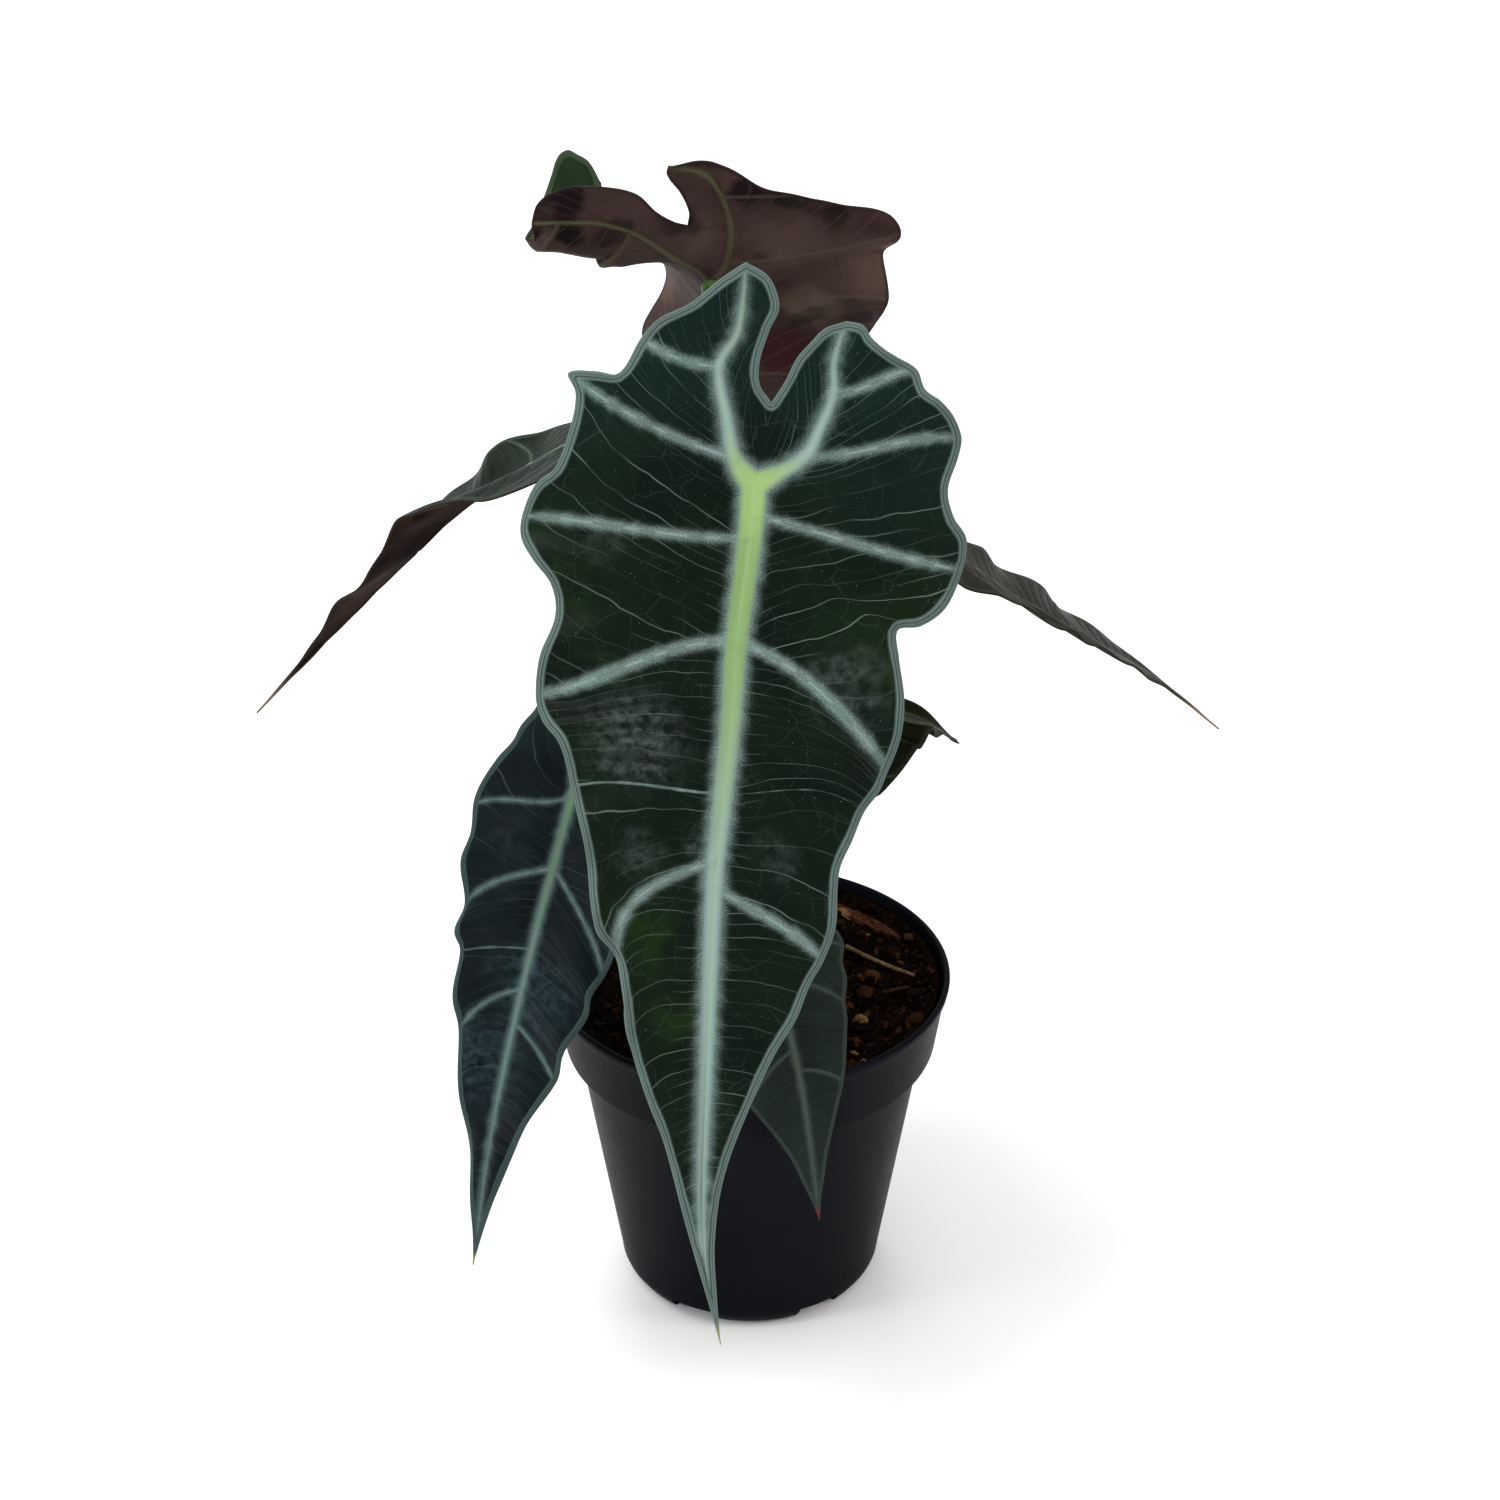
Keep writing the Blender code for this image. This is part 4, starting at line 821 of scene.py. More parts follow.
# %% Fields
class Field:
    """A number or colour that changes over a surface."""

    def __init__(self, finish, socket):
        self.finish, self.socket = finish, socket

    def maths(self, operation, *values, **settings):
        return self.finish.add("Math", {"operation": operation, **settings}, values)

    def __add__(self, other):
        return self.maths("ADD", self, other)

    def __sub__(self, other):
        return self.maths("SUBTRACT", self, other)

    def __rsub__(self, other):
        return self.maths("SUBTRACT", other, self)

    def __mul__(self, other):
        return self.maths("MULTIPLY", self, other)

    def __truediv__(self, other):
        return self.maths("DIVIDE", self, other)

    __radd__, __rmul__ = __add__, __mul__

    def size(self):
        return self.maths("ABSOLUTE", self)

    def whole(self):
        return self.maths("ROUND", self)

    def least(self, other):
        return self.maths("MINIMUM", self, other)

    def most(self, other):
        return self.maths("MAXIMUM", self, other)

    def held(self):
        """Kept between 0 and 1."""
        return self.maths("ADD", self, 0.0, use_clamp=True)

    def rise(self, low, high):
        """0 below low and 1 above high, smooth between, or the other way round if low is higher."""
        start, end, first, last = (low, high, 0.0, 1.0) if low < high else (high, low, 1.0, 0.0)
        return self.finish.add(
            "MapRange", {"interpolation_type": "SMOOTHSTEP"}, [self, start, end, first, last]
        )


print("a field's own sums:", [name for name in vars(Field) if name[0] != "_"])

# %% [markdown]
# ## Finishes
# Everything else in a material comes from one method, which takes a node's kind, its settings and
# the values of its sockets. The short methods after it name the nodes that this plant's finishes
# use most, so that a finish reads like a recipe.

# %% Finishes
class Finish:
    """One material, built node by node on its Principled shader."""

    def __init__(self, name, **plain):
        self.material = bpy.data.materials.new(name)
        self.material.use_nodes = True
        self.tree = self.material.node_tree
        self.shader = self.tree.nodes["Principled BSDF"]
        for socket, value in plain.items():
            self.set(socket.replace("_", " ").title().replace("Ior", "IOR"), value)

    def add(self, kind, settings=None, values=(), output=0):
        node = self.tree.nodes.new("ShaderNode" + kind)
        for key, setting in (settings or {}).items():
            setattr(node, key, setting)
        sockets = [socket for socket in node.inputs if socket.enabled]
        pairs = values.items() if isinstance(values, dict) else enumerate(values)
        for key, value in pairs:
            named = [socket for socket in sockets if socket.name == key]
            self.put(named[0] if named else sockets[key], value)
        outputs = [socket for socket in node.outputs if socket.enabled]
        chosen = [socket for socket in outputs if socket.name == output]
        return Field(self, chosen[0] if chosen else outputs[output])

    def put(self, socket, value):
        if isinstance(value, Field):
            self.tree.links.new(value.socket, socket)
        elif isinstance(value, tuple) and socket.type == "RGBA":
            socket.default_value = (*value, 1.0)
        else:
            socket.default_value = value

    def set(self, socket, value):
        self.put(self.shader.inputs[socket], value)

    def attribute(self, name):
        return self.add("Attribute", {"attribute_name": name}, output="Fac")

    def flat(self):
        return self.add("UVMap", {"uv_map": "flat"})

    def shifted(self, vector, amount):
        """A vector moved by the same amount along every axis."""
        return self.add("VectorMath", {"operation": "ADD"}, [vector, amount])

    def object(self):
        return self.add("TexCoord", output="Object")

    def noise(self, vector, scale, detail=2.0, roughness=0.5):
        values = {"Vector": vector, "Scale": scale, "Detail": detail, "Roughness": roughness}
        return self.add("TexNoise", None, values)

    def line_noise(self, where, scale, detail=1.0):
        values = {"W": where, "Scale": scale, "Detail": detail}
        return self.add("TexNoise", {"noise_dimensions": "1D"}, values)

    def chance(self, where):
        """A different even draw for every whole number."""
        return self.add("TexWhiteNoise", {"noise_dimensions": "1D"}, {"W": where})

    def mix(self, share, first, second):
        values = {"Factor": share, "A": first, "B": second}
        return self.add("Mix", {"data_type": "RGBA"}, values)

    def bump(self, height, distance, strength):
        values = {"Strength": strength, "Distance": distance, "Height": height}
        return self.add("Bump", None, values)


test = Finish("first_test")
print("one sum:", test.attribute("border").rise(0, 1).socket.name, len(test.tree.nodes), "nodes")
bpy.data.materials.remove(test.material)

# %% [markdown]
# ## Bands, nets and spots
# The bands on a blade have edges that are combed into fine hairs, because the silver cells thin out
# there. A clean edge would look printed, so each band's edge moves in and out with a fine noise
# that runs along the vein. A net of cells and soft round spots are the other two patterns.

# %% Bands, nets and spots
def combed(finish, distance, run, reach, key, grain):
    """A band's cover: 1 inside, feathered out to 0 over its reach in millimetres."""
    slanted = run + distance * 0.6 + key
    hairs = finish.line_noise(slanted, 3.1, 1.0)
    tufts = finish.line_noise(slanted, 0.23, 1.0)
    edge = distance - reach * ((hairs - 0.5) * 0.4 + (tufts - 0.5) * 0.9 + (grain - 0.5) * 0.8)
    cover = edge.rise(reach * 1.9, reach * -1.5)
    fringe = hairs.rise(0.52, 0.70) * tufts.rise(0.40, 0.62) * distance.rise(reach * 2.4, 0.0)
    return (cover * cover * (3 - cover * 2)).most(fringe * 0.4)


def net(finish, flat, size, width):
    """Thin lines round cells of this size in millimetres."""
    values = {"Vector": flat, "Scale": FLAT_SPAN / size}
    edge = finish.add("TexVoronoi", {"feature": "DISTANCE_TO_EDGE"}, values, "Distance")
    return edge.rise(width / size, 0.0)


def spot(finish, flat, place, outer, inner):
    """The cover of a round spot with a soft edge, all in millimetres on the flat blade."""
    middle = (*(part / FLAT_SPAN + FLAT_SHIFT for part in place), 0.0)
    away = finish.add("VectorMath", {"operation": "DISTANCE"}, [flat, middle], "Value")
    return away.rise(outer / FLAT_SPAN, inner / FLAT_SPAN)


print("patterns are drawn on a flat map of", FLAT_SPAN, "mm")

# %% [markdown]
# ## A finish in coats
# Each face of a blade is painted up in coats, from its ground to its margin. One class for both
# faces keeps the leaf's tint and the colour so far, and lays each coat over it by a cover from 0
# to 1. Every coat can then be a short function of its own.

# %% A finish in coats
class BladeFinish(Finish):
    """One face of a blade: the leaf's tint, the flat place, and a colour that grows in coats."""

    def __init__(self, name, tint, gloss):
        super().__init__(name, ior=1.45, specular_ior_level=gloss)
        self.tint, self.scale = tint, tint["scale"]
        self.place, self.border = self.flat(), self.attribute("border")
        self.along = self.attribute("midrib_run") / tint["length"]

    def ground(self, cover, first, second):
        """The first coat: two colours of the tint, mixed."""
        self.colour = self.mix(cover, self.tint[first], self.tint[second])

    def coat(self, cover, paint):
        """Lays a colour of the tint, or one that is mixed already, over the colour so far."""
        paint = self.tint[paint] if isinstance(paint, str) else paint
        self.colour = self.mix(cover, self.colour, paint)


def lay_ground(finish):
    """The mottled dark ground, with painted backlight greener near the margin and in spots, and
    stains.
    """
    flat, scale, tint = finish.place, finish.scale, finish.tint
    clouds = finish.noise(flat, 14.0, 3.0, 0.6)
    finish.ground(clouds.rise(0.35, 0.7), "dark", "deep")
    # Painted backlight: light through the thin blade, greener near the margin and at listed spots.
    backlit_green = finish.noise(flat, 11.0, 1.0).rise(0.50, 0.72)
    backlit_green = backlit_green * finish.border.rise(30 * scale, 3 * scale)
    finish.coat(backlit_green * tint["backlit_share"], "backlit_green")
    finish.coat(finish.along.rise(1.0, 1.16) * 0.7, "lobe")
    moved = finish.shifted(flat, (clouds - 0.5) * 0.12)
    for place, size, share in tint["backlit_spots"]:
        finish.coat(spot(finish, moved, place, size, 0.0) * share, "backlit_green")
    for place, size, share in tint["stains"]:
        finish.coat(spot(finish, flat, place, size * 1.15, size * 0.8) * share, "stain")


print("a blade's finish adds:", [name for name in vars(BladeFinish) if name[0] != "_"])

# %% [markdown]
# ## Fine veins and painted sheen
# Fine veins are the whole numbers of the phase, each with a strength of its own. A short one lies
# between each two near the strong veins, and a faint net of cells joins them. In a few places a
# greyish painted sheen lightens the face, in streaks between the fine veins.

# %% Fine veins and painted sheen
def fine_veins(finish, phase, wander):
    """The covers of the fine veins, of these with the short ones and the net, and their patches."""
    flat, scale = finish.place, finish.scale
    number, between = phase.whole(), phase + 0.5
    gap = (phase - number).size() * FINE_PITCH * scale
    strength = finish.chance(number + 0.37).rise(0.1, 1.0) * 0.9 + 0.1
    patchy = finish.noise(flat, 34.0, 1.0).rise(0.30, 0.62) * 0.75 + 0.25
    main = gap.rise(0.12 * scale + 0.06, 0.01) * strength * patchy
    beyond = finish.attribute("midrib").least(finish.attribute("lateral"))
    short = (between - between.whole()).size() * FINE_PITCH * scale
    short = short.rise(0.22, 0.02) * beyond.rise(9 * scale, 2.0) * finish.chance(between.whole())
    cells = net(finish, finish.shifted(flat, wander * 0.03), 9.5 * scale, 0.16) * 0.09
    return main, main.most(short * 0.5).most(cells * patchy), patchy


def lay_painted_sheen(finish, phase, wander):
    """A painted sheen: greyish patches in a few places, in streaks between the fine veins."""
    flat = finish.place
    sheen_grain = finish.noise(flat, 640.0, 2.0, 0.7).rise(0.30, 0.70) * 0.5 + 0.5
    sheen_grain = sheen_grain * finish.noise(flat, 120.0, 4.0, 0.6).rise(0.32, 0.68)
    streaks = finish.line_noise(phase, 1.3, 2.0).rise(0.36, 0.62) * 0.6 + 0.4
    moved = finish.shifted(flat, wander * 0.03)
    for place, size, share in finish.tint["painted_sheen"]:
        cover = spot(finish, moved, place, size, size * 0.25)
        finish.coat(cover * streaks * sheen_grain * share, "sheen_grey")


print("fine veins and bloom follow the phase, in steps of", FINE_PITCH, "mm")

# %% [markdown]
# ## Bands, core and margin
# The laterals and the midrib have grey-mint bands. The midrib's core is yellow green at the
# junction and fades to mint, and the margin is a pale band with two thin darker lines in it.

# %% Bands, core and margin
def lay_laterals(finish, thread, grain):
    """The laterals' combed bands, each with a thin greener groove. Returns the cover and colour."""
    flat, scale, tint = finish.place, finish.scale, finish.tint
    lateral, run = finish.attribute("lateral"), finish.attribute("lateral_run")
    band = finish.mix(grain.rise(0.3, 0.75), tint["band"], tint["band_light"])
    drawn = finish.line_noise(lateral + finish.noise(flat, 14.0, 0.0) * 3, 1.9, 2.0)
    band = finish.mix(drawn.rise(0.35, 0.7) * 0.5, band, tint["groove"])
    side = combed(finish, lateral, run, 1.15 * scale, 0.0, grain)
    side = side.most(thread) * (finish.attribute("across").rise(1.05, 0.8) * 0.3 + 0.7)
    finish.coat(side * tint["band_share"], band)
    groove = finish.attribute("groove").rise(0.5 * scale, 0.12 * scale)
    bright = finish.line_noise(run, 0.12, 0.0).rise(0.44, 0.56)
    finish.coat(groove * (1 - bright) * 0.5, "groove")
    finish.coat(groove * bright * 0.5, "core_low")
    return side, band


def lay_midrib(finish, grain, band):
    """The midrib's and the lobes' band and core. Returns both covers."""
    flat, scale, tint, along = finish.place, finish.scale, finish.tint, finish.along
    midrib, run = finish.attribute("midrib"), finish.attribute("midrib_run")
    halo = combed(finish, midrib, run, 1.7 * scale, 17.0, grain)
    halo = halo * (1 - along.rise(1.0, 1.08) * 0.22)
    finish.coat(halo * tint["band_share"], band)
    core = (midrib + (grain - 0.5) * 0.7).rise(0.2, -1.9 * scale)
    yellow = along.rise(0.50, 0.86) * (1 - (along - 1.0).rise(0.0, 0.075))
    inside = finish.mix(yellow, tint["core_low"], tint["core"])
    ridge = finish.attribute("middle").rise(1.6 * scale, 0.2 * scale)
    streak = finish.line_noise(midrib + finish.noise(flat, 8.0, 0.0) * 2, 1.4, 2.0)
    inside = finish.mix(ridge * streak.rise(0.3, 0.7) * 0.6, inside, tint["core_light"])
    glow = (along - 0.99).size().rise(0.07, 0.01)
    finish.coat(core, finish.mix(glow * 0.6, inside, tint["junction"]))
    return halo, core


def lay_margin(finish, grain):
    """The margin's pale band, with two thin dark lines inside it. Returns its cover."""
    flat, scale, tint, border = finish.place, finish.scale, finish.tint, finish.border
    wave = (finish.noise(flat, 30.0, 2.0) - 0.5) * 1.2 * scale
    fray = (finish.noise(flat, 110.0, 2.0) - 0.5) * 0.5 * scale
    edge = (border + wave).rise(2.6 * scale, 1.7 * scale)
    line = (border + wave * 0.4 + fray - 1.35 * scale).size().rise(0.34 * scale, 0.06 * scale)
    outer = (border + wave * 0.2 + fray - 0.62 * scale).size().rise(0.22 * scale, 0.04 * scale)
    rim = finish.mix(grain.rise(0.3, 0.75), tint["rim"], tint["band"])
    rim = finish.mix(line.most(outer * 0.7) * 0.75, rim, tint["rim_line"])
    finish.coat(edge * tint["rim_share"], rim)
    return edge


print("widest band:", 2 * max(MIDRIB_WIDTHS), "mm across")

# %% [markdown]
# ## The upper face of a blade
# The real face is nearly black green and satin. The coats are laid from the ground up, and the
# covers of the pale bands also make the face rougher there. The strips between fine veins are
# faintly puffed, which is left to a bump.

# %% The upper face
def upper_face(name, tint):
    """The finish of a blade's upper face. Tint holds its own colours and how pale its veins are."""
    finish = BladeFinish(name, tint, tint["gloss"])
    flat, scale = finish.place, finish.scale
    wander = finish.noise(flat, 18.0, 2.0) - 0.5
    jitter = finish.noise(flat, 75.0, 1.0) - 0.5
    grain = finish.noise(flat, 900.0, 2.0)
    phase = finish.attribute("fine") + wander * 0.8 + jitter * 0.10
    main, veins, patchy = fine_veins(finish, phase, wander)
    thread = finish.attribute("thread") + jitter * 0.5
    thread = thread.rise(0.62 * scale, 0.10 * scale) * (patchy * 0.5 + 0.35)

    lay_ground(finish)
    finish.coat(veins * tint["fine_share"], "fine")
    dust = finish.noise(flat, 760.0, 0.0).rise(0.82, 0.88) * 0.5
    finish.coat(dust, "fine")
    # Painted sheen: greyish patches laid into the colour.
    lay_painted_sheen(finish, phase, wander)
    side, band = lay_laterals(finish, thread, grain)
    halo, core = lay_midrib(finish, grain, band)
    edge = lay_margin(finish, grain)
    finish.coat(finish.along.rise(tint["tip_reach"], tint["tip_reach"] * 0.3), "tip")
    finish.set("Base Color", finish.colour)

    pale = side.most(halo).most(edge).most(core)
    specks = finish.noise(flat, 1700.0, 1.0, 0.7)
    sheen = finish.noise(flat, 7.0, 1.0).rise(0.45, 0.62)
    rough = tint["rough"] - sheen * 0.10 + (specks - 0.5) * 0.3 + pale * 0.16
    finish.set("Roughness", rough)
    fall = phase - phase.whole()
    puffed = fall * fall * (pale.rise(0.4, 0.0) * 3.2)
    height = finish.noise(flat, 700.0, 2.0, 0.6) * 0.14 - puffed - main * 0.3
    height = height + side * 0.2 + core * 0.2 + finish.noise(flat, 90.0, 2.0) * 0.5
    finish.set("Normal", finish.bump(height, 0.00035, 0.6))
    return finish.material


print("panels with fine veins, a side:", len(FINE_SWEEP))

# %% [markdown]
# ## The underside of a blade
# Below, the blade is a matt purple brown with olive veins that stand out as ridges. The ridges are
# in the mesh, so the material only colours them, mottles the ground, lays soft marks on it and lets
# the veins fade out. On the back leaf the pale marks are partly a painted highlight on its left
# lobe's curve.

# %% The underside
def under_face(name, tint):
    """The finish of a blade's underside."""
    finish = BladeFinish(name, tint, tint["under_gloss"])
    flat, scale = finish.place, finish.scale
    clouds = finish.noise(flat, 16.0, 3.0, 0.6)
    finish.ground(clouds.rise(0.3, 0.72), "under", "under_dark")
    moved = finish.shifted(flat, (finish.noise(flat, 26.0, 3.0, 0.6) - 0.5) * 0.05)
    for shade, soft, marks in tint["under_marks"]:
        for place, size, share in marks:
            finish.coat(spot(finish, moved, place, size, size * soft) * share, shade)
    blotch = finish.noise(flat, 22.0, 2.0, 0.5).rise(0.58, 0.68)
    finish.coat(blotch * 0.6, "under_spot")
    phase = finish.attribute("fine") + (finish.noise(flat, 22.0, 2.0) - 0.5) * 0.55
    gap = (phase - phase.whole()).size() * FINE_PITCH * scale
    fine = gap.rise(0.5, 0.05) * tint["under_fine_share"]
    finish.coat(fine, "under_light")
    side = finish.attribute("groove").rise(1.1 * scale, 0.3 * scale)
    finish.coat(side * 0.5, "under_vein")
    middle = finish.attribute("middle").rise(1.5 * scale, 0.4 * scale)
    finish.coat(middle * tint["under_rib_share"], "under_rib")
    finish.coat(finish.border.rise(1.5 * scale, 0.5 * scale) * 0.55, "under_edge")
    tip = finish.along.rise(tint["tip_reach"] * 1.4, tint["tip_reach"] * 0.3)
    finish.coat(tip * tint["under_tip_share"], "tip")
    finish.set("Base Color", finish.colour)
    finish.set("Roughness", 0.52 + (clouds - 0.5) * 0.2)
    height = finish.noise(flat, 420.0, 2.0, 0.6) * 0.3 + fine * 1.2 + side * 1.2
    height = height + finish.noise(flat, 60.0, 2.0) * 0.5
    finish.set("Normal", finish.bump(height, 0.0004, 0.5))
    return finish.material


print("ridges under the blade:", KEEL_DEPTH, "mm and", VEIN_KEEL_DEPTH, "mm")

# %% [markdown]
# ## The colours of each leaf
# The large front leaf is the greenest. The one at the lower left is in shade and bluer, and the
# small ones are duller. Every leaf starts from one plain set and names only what differs.
# A group of three numbers is a colour from 0 to 255, which is made linear, the way that a shader
# takes it. Soft marks are listed by their place on the flat blade in millimetres, size and share.

# %% Colours
def linear(red, green, blue):
    """A colour from its usual 0 to 255 numbers, as the shader wants it."""
    parts = (red / 255, green / 255, blue / 255)
    return tuple(c / 12.92 if c <= 0.04045 else ((c + 0.055) / 1.055) ** 2.4 for c in parts)


# Pale mauve, partly a painted highlight on the curve of the back leaf's left lobe.
BACK_PALE_AND_HIGHLIGHT = linear(92, 74, 66)
BACK_MAROON = linear(50, 24, 26)
BACK_DARK = linear(16, 8, 13)
PLAIN_TINT = {
    "scale": 1.0, "slim": 1.0, "gloss": 0.05, "dark": (10, 23, 13), "deep": (6, 15, 10),
    # The green and the share of a painted backlight through the blade start this row.
    "backlit_green": (26, 46, 14), "backlit_share": 0.22, "fine": (106, 124, 117), "fine_share": 0.68,
    "band": (90, 108, 106), "band_light": (126, 144, 140), "band_share": 1.0,
    "groove": (80, 98, 86), "core": (118, 145, 91), "core_low": (129, 149, 146),
    "core_light": (138, 164, 116), "junction": (146, 172, 108), "rim": (90, 105, 99),
    "rim_line": (32, 44, 40), "rim_share": 0.95, "rim_below": 0, "lobe": (12, 30, 27), "backlit_spots": [],
    # This row also holds the spots and the grey of a painted sheen.
    "stains": [], "stain": (5, 13, 7), "painted_sheen": [], "sheen_grey": (84, 93, 90), "tip": (128, 134, 84),
    "tip_reach": 0.035, "rough": 0.42, "under_gloss": 0.05, "under": (54, 42, 36),
    "under_dark": (36, 22, 22), "under_marks": [], "under_spot": (18, 8, 12),
    "under_light": (70, 60, 48), "under_fine_share": 0.25, "under_vein": (74, 66, 44),
    "under_rib": (80, 84, 54), "under_rib_share": 0.7, "under_edge": (34, 20, 20),
    "under_tip_share": 0.3,
}
print("each leaf starts from", len(PLAIN_TINT), "colours and numbers")

# %% The leaves' own colours
TINTS = {
    "front": {
        "stains": [((-45, 11.5), 2.9, 1.0)],
        # Spots of painted backlight, greener where light shines through the blade.
        "backlit_spots": [
            ((-50, 25), 9, 0.5), ((-49, -4), 8, 0.45), ((-42, 41), 7, 0.3), ((-27, 118), 12, 0.55),
            ((-20, 142), 10, 0.6), ((-13, 162), 8, 0.5), ((15, 150), 7, 0.3),
        ],
        # Spots of painted sheen, by place on the flat blade in millimetres, size and share.
        "painted_sheen": [
            ((-31, 66), 18, 0.75), ((25, 52), 15, 0.6), ((-14, 92), 8, 0.6), ((-30, 96), 9, 0.5),
            ((6, 96), 8, 0.35), ((-40, 14), 9, 0.25),
        ],
    },
    "lower_left": {
        "scale": 0.78, "slim": 0.55, "dark": (7, 18, 20), "deep": (4, 10, 12), "backlit_share": 0.05,
        "fine": (58, 76, 78), "fine_share": 0.55, "band": (60, 78, 78),
        "band_light": (86, 104, 103), "groove": (66, 86, 82), "core": (80, 101, 80),
        "core_low": (84, 104, 106), "junction": (92, 112, 78), "core_light": (92, 114, 98),
        "rim": (46, 60, 58),
        # Bluish spots of painted sheen.
        "painted_sheen": [((5, 62), 20, 0.75), ((-8, 88), 20, 0.8), ((-14, 24), 9, 0.3)],
        "sheen_grey": (44, 62, 68),
    },
    "back": {
        "scale": 0.9, "slim": 0.5, "rough": 0.46, "dark": (27, 45, 24), "deep": (18, 33, 18),
        "lobe": (24, 46, 24), "fine": (50, 72, 48), "band": (50, 72, 50),
        "band_light": (60, 84, 60), "band_share": 0.5, "rim": (74, 88, 68),
        "rim_line": (40, 58, 36), "rim_share": 0.6, "rim_below": 1, "under": (66, 51, 47),
        "under_dark": (46, 32, 31), "under_spot": (16, 8, 13),
        "under_marks": [
            # Pale spots, partly a painted highlight on the curve of the left lobe.
            (BACK_PALE_AND_HIGHLIGHT, 0.1, [((-44, -6), 15, 0.7), ((-22, -14), 16, 0.45), ((34, 26), 12, 1.0)]),
            (BACK_PALE_AND_HIGHLIGHT, 0.1, [((-27, 11), 13, 0.75), ((4, -18), 10, 0.3)]),
            (BACK_MAROON, 0.4, [((-20, 30), 15, 0.9), ((-34, 30), 12, 0.7)]),
            (BACK_DARK, 0.45, [((42, -39), 9, 0.9), ((39, -29), 7, 0.9), ((28, -27), 6, 0.6)]),
            (BACK_DARK, 0.45, [((-9, -33), 6, 0.9), ((-22, -31), 8, 0.8), ((-36, -24), 5, 0.6)]),
        ],
        "under_light": (78, 66, 58), "under_vein": (78, 70, 56), "under_rib": (80, 84, 58),
        "under_rib_share": 0.6,
    },
    "left": {
        "scale": 0.72, "slim": 0.6, "gloss": 0.02, "dark": (16, 28, 18), "fine_share": 0.25,
        "band": (58, 68, 60), "band_light": (80, 92, 80), "band_share": 0.4,
        "core": (104, 132, 102), "core_low": (88, 110, 90), "junction": (104, 130, 100),
        "core_light": (112, 140, 110), "rim": (50, 62, 55), "rim_below": 1, "fine": (50, 56, 48),
        "tip": (118, 104, 90), "tip_reach": 0.12, "under_gloss": 0.004, "under": (50, 36, 30),
        "under_dark": (16, 9, 9), "under_fine_share": 0.08, "under_vein": (48, 42, 34),
        "under_rib": (52, 48, 36), "under_rib_share": 0.4, "under_light": (50, 42, 36),
        "under_edge": (52, 44, 36), "under_tip_share": 0.8,
    },
    # The right leaf's grey olive colours are a painted sheen of a face seen at a grazing angle, and
    # its gloss is kept near nil.
    "right": {
        "scale": 0.72, "slim": 0.5, "gloss": 0.01, "dark": (24, 26, 20), "deep": (34, 34, 27),
        "band": (50, 54, 45), "band_light": (62, 64, 54), "band_share": 0.5, "core": (56, 62, 48),
        "core_low": (56, 58, 48), "junction": (58, 64, 50), "core_light": (62, 66, 52),
        "rim": (52, 53, 44), "rim_below": 1, "fine": (48, 50, 42), "fine_share": 0.4,
        "tip": (140, 112, 94), "tip_reach": 0.16, "under_gloss": 0.006, "under_fine_share": 0.1,
        "under": (50, 51, 42), "under_dark": (34, 33, 27), "under_vein": (54, 54, 44),
        "under_rib": (58, 60, 48), "under_rib_share": 0.4, "under_light": (54, 54, 45),
        "under_edge": (40, 36, 28), "under_tip_share": 0.9,
    },
    "small_right": {
        "scale": 0.5, "gloss": 0.03, "dark": (10, 22, 6), "deep": (22, 21, 10),
        "fine": (44, 50, 34), "fine_share": 0.4, "band": (48, 58, 44), "band_light": (58, 68, 52),
        "band_share": 0.35, "core": (54, 66, 42), "core_low": (50, 60, 44),
        "junction": (58, 70, 44), "core_light": (60, 70, 48), "rim": (40, 48, 34), "rim_share": 0.5,
        "rim_below": 1, "under": (30, 27, 15), "under_dark": (16, 18, 8),
        "under_light": (34, 32, 20), "under_vein": (36, 35, 22), "under_rib": (40, 42, 24),
        "under_rib_share": 0.5, "under_edge": (26, 24, 14),
    },
    "small_front": {
        "scale": 0.5, "slim": 0.75, "dark": (28, 38, 34), "deep": (20, 28, 26), "backlit_share": 0.1,
        "fine": (52, 60, 55), "band": (46, 56, 52), "band_light": (60, 70, 65),
        "groove": (58, 67, 60), "core": (66, 76, 66), "core_low": (60, 70, 65),
        "junction": (70, 80, 66), "core_light": (70, 80, 72), "rim": (50, 58, 53),
        "tip": (96, 44, 34), "tip_reach": 0.06,
    },
}


def made_linear(tint):
    """A leaf's tint with its colours the way that a shader takes them."""
    return {key: linear(*row) if isinstance(row, tuple) else row for key, row in tint.items()}


print("finishes:", len(TINTS) * 2)

# %% [markdown]
# ## The seven blades
# Each blade's upper face is the mesh made above. A Solidify modifier gives it its thickness
# downwards, more along the veins, and puts the second material on what it adds. Each takes the
# place of its solid.

# %% Build the blades
# The longest step between a blade's ribs, in millimetres, and its columns from spine to margin.
GRID = {
    "front": (1.15, 30), "back": (1.3, 26), "lower_left": (1.2, 22), "left": (1.3, 20),
    "right": (1.3, 20), "small_right": (1.1, 16), "small_front": (1.1, 16),
}


def add_object(name, data):
    """A new object in the scene that shows a mesh, a curve, a light or a camera."""
    made = bpy.data.objects.new(name, data)
    bpy.context.scene.collection.objects.link(made)
    return made


def add_piece(name, mesh, node):
    """Adds a finished mesh as a piece of the plant that stands for this solid."""
    piece = add_object(name, mesh)
    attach(piece, "root")
    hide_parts(node)
    return piece


def triangles(piece):
    shown = piece.evaluated_get(bpy.context.evaluated_depsgraph_get()).to_mesh()
    shown.calc_loop_triangles()
    return len(shown.loop_triangles)


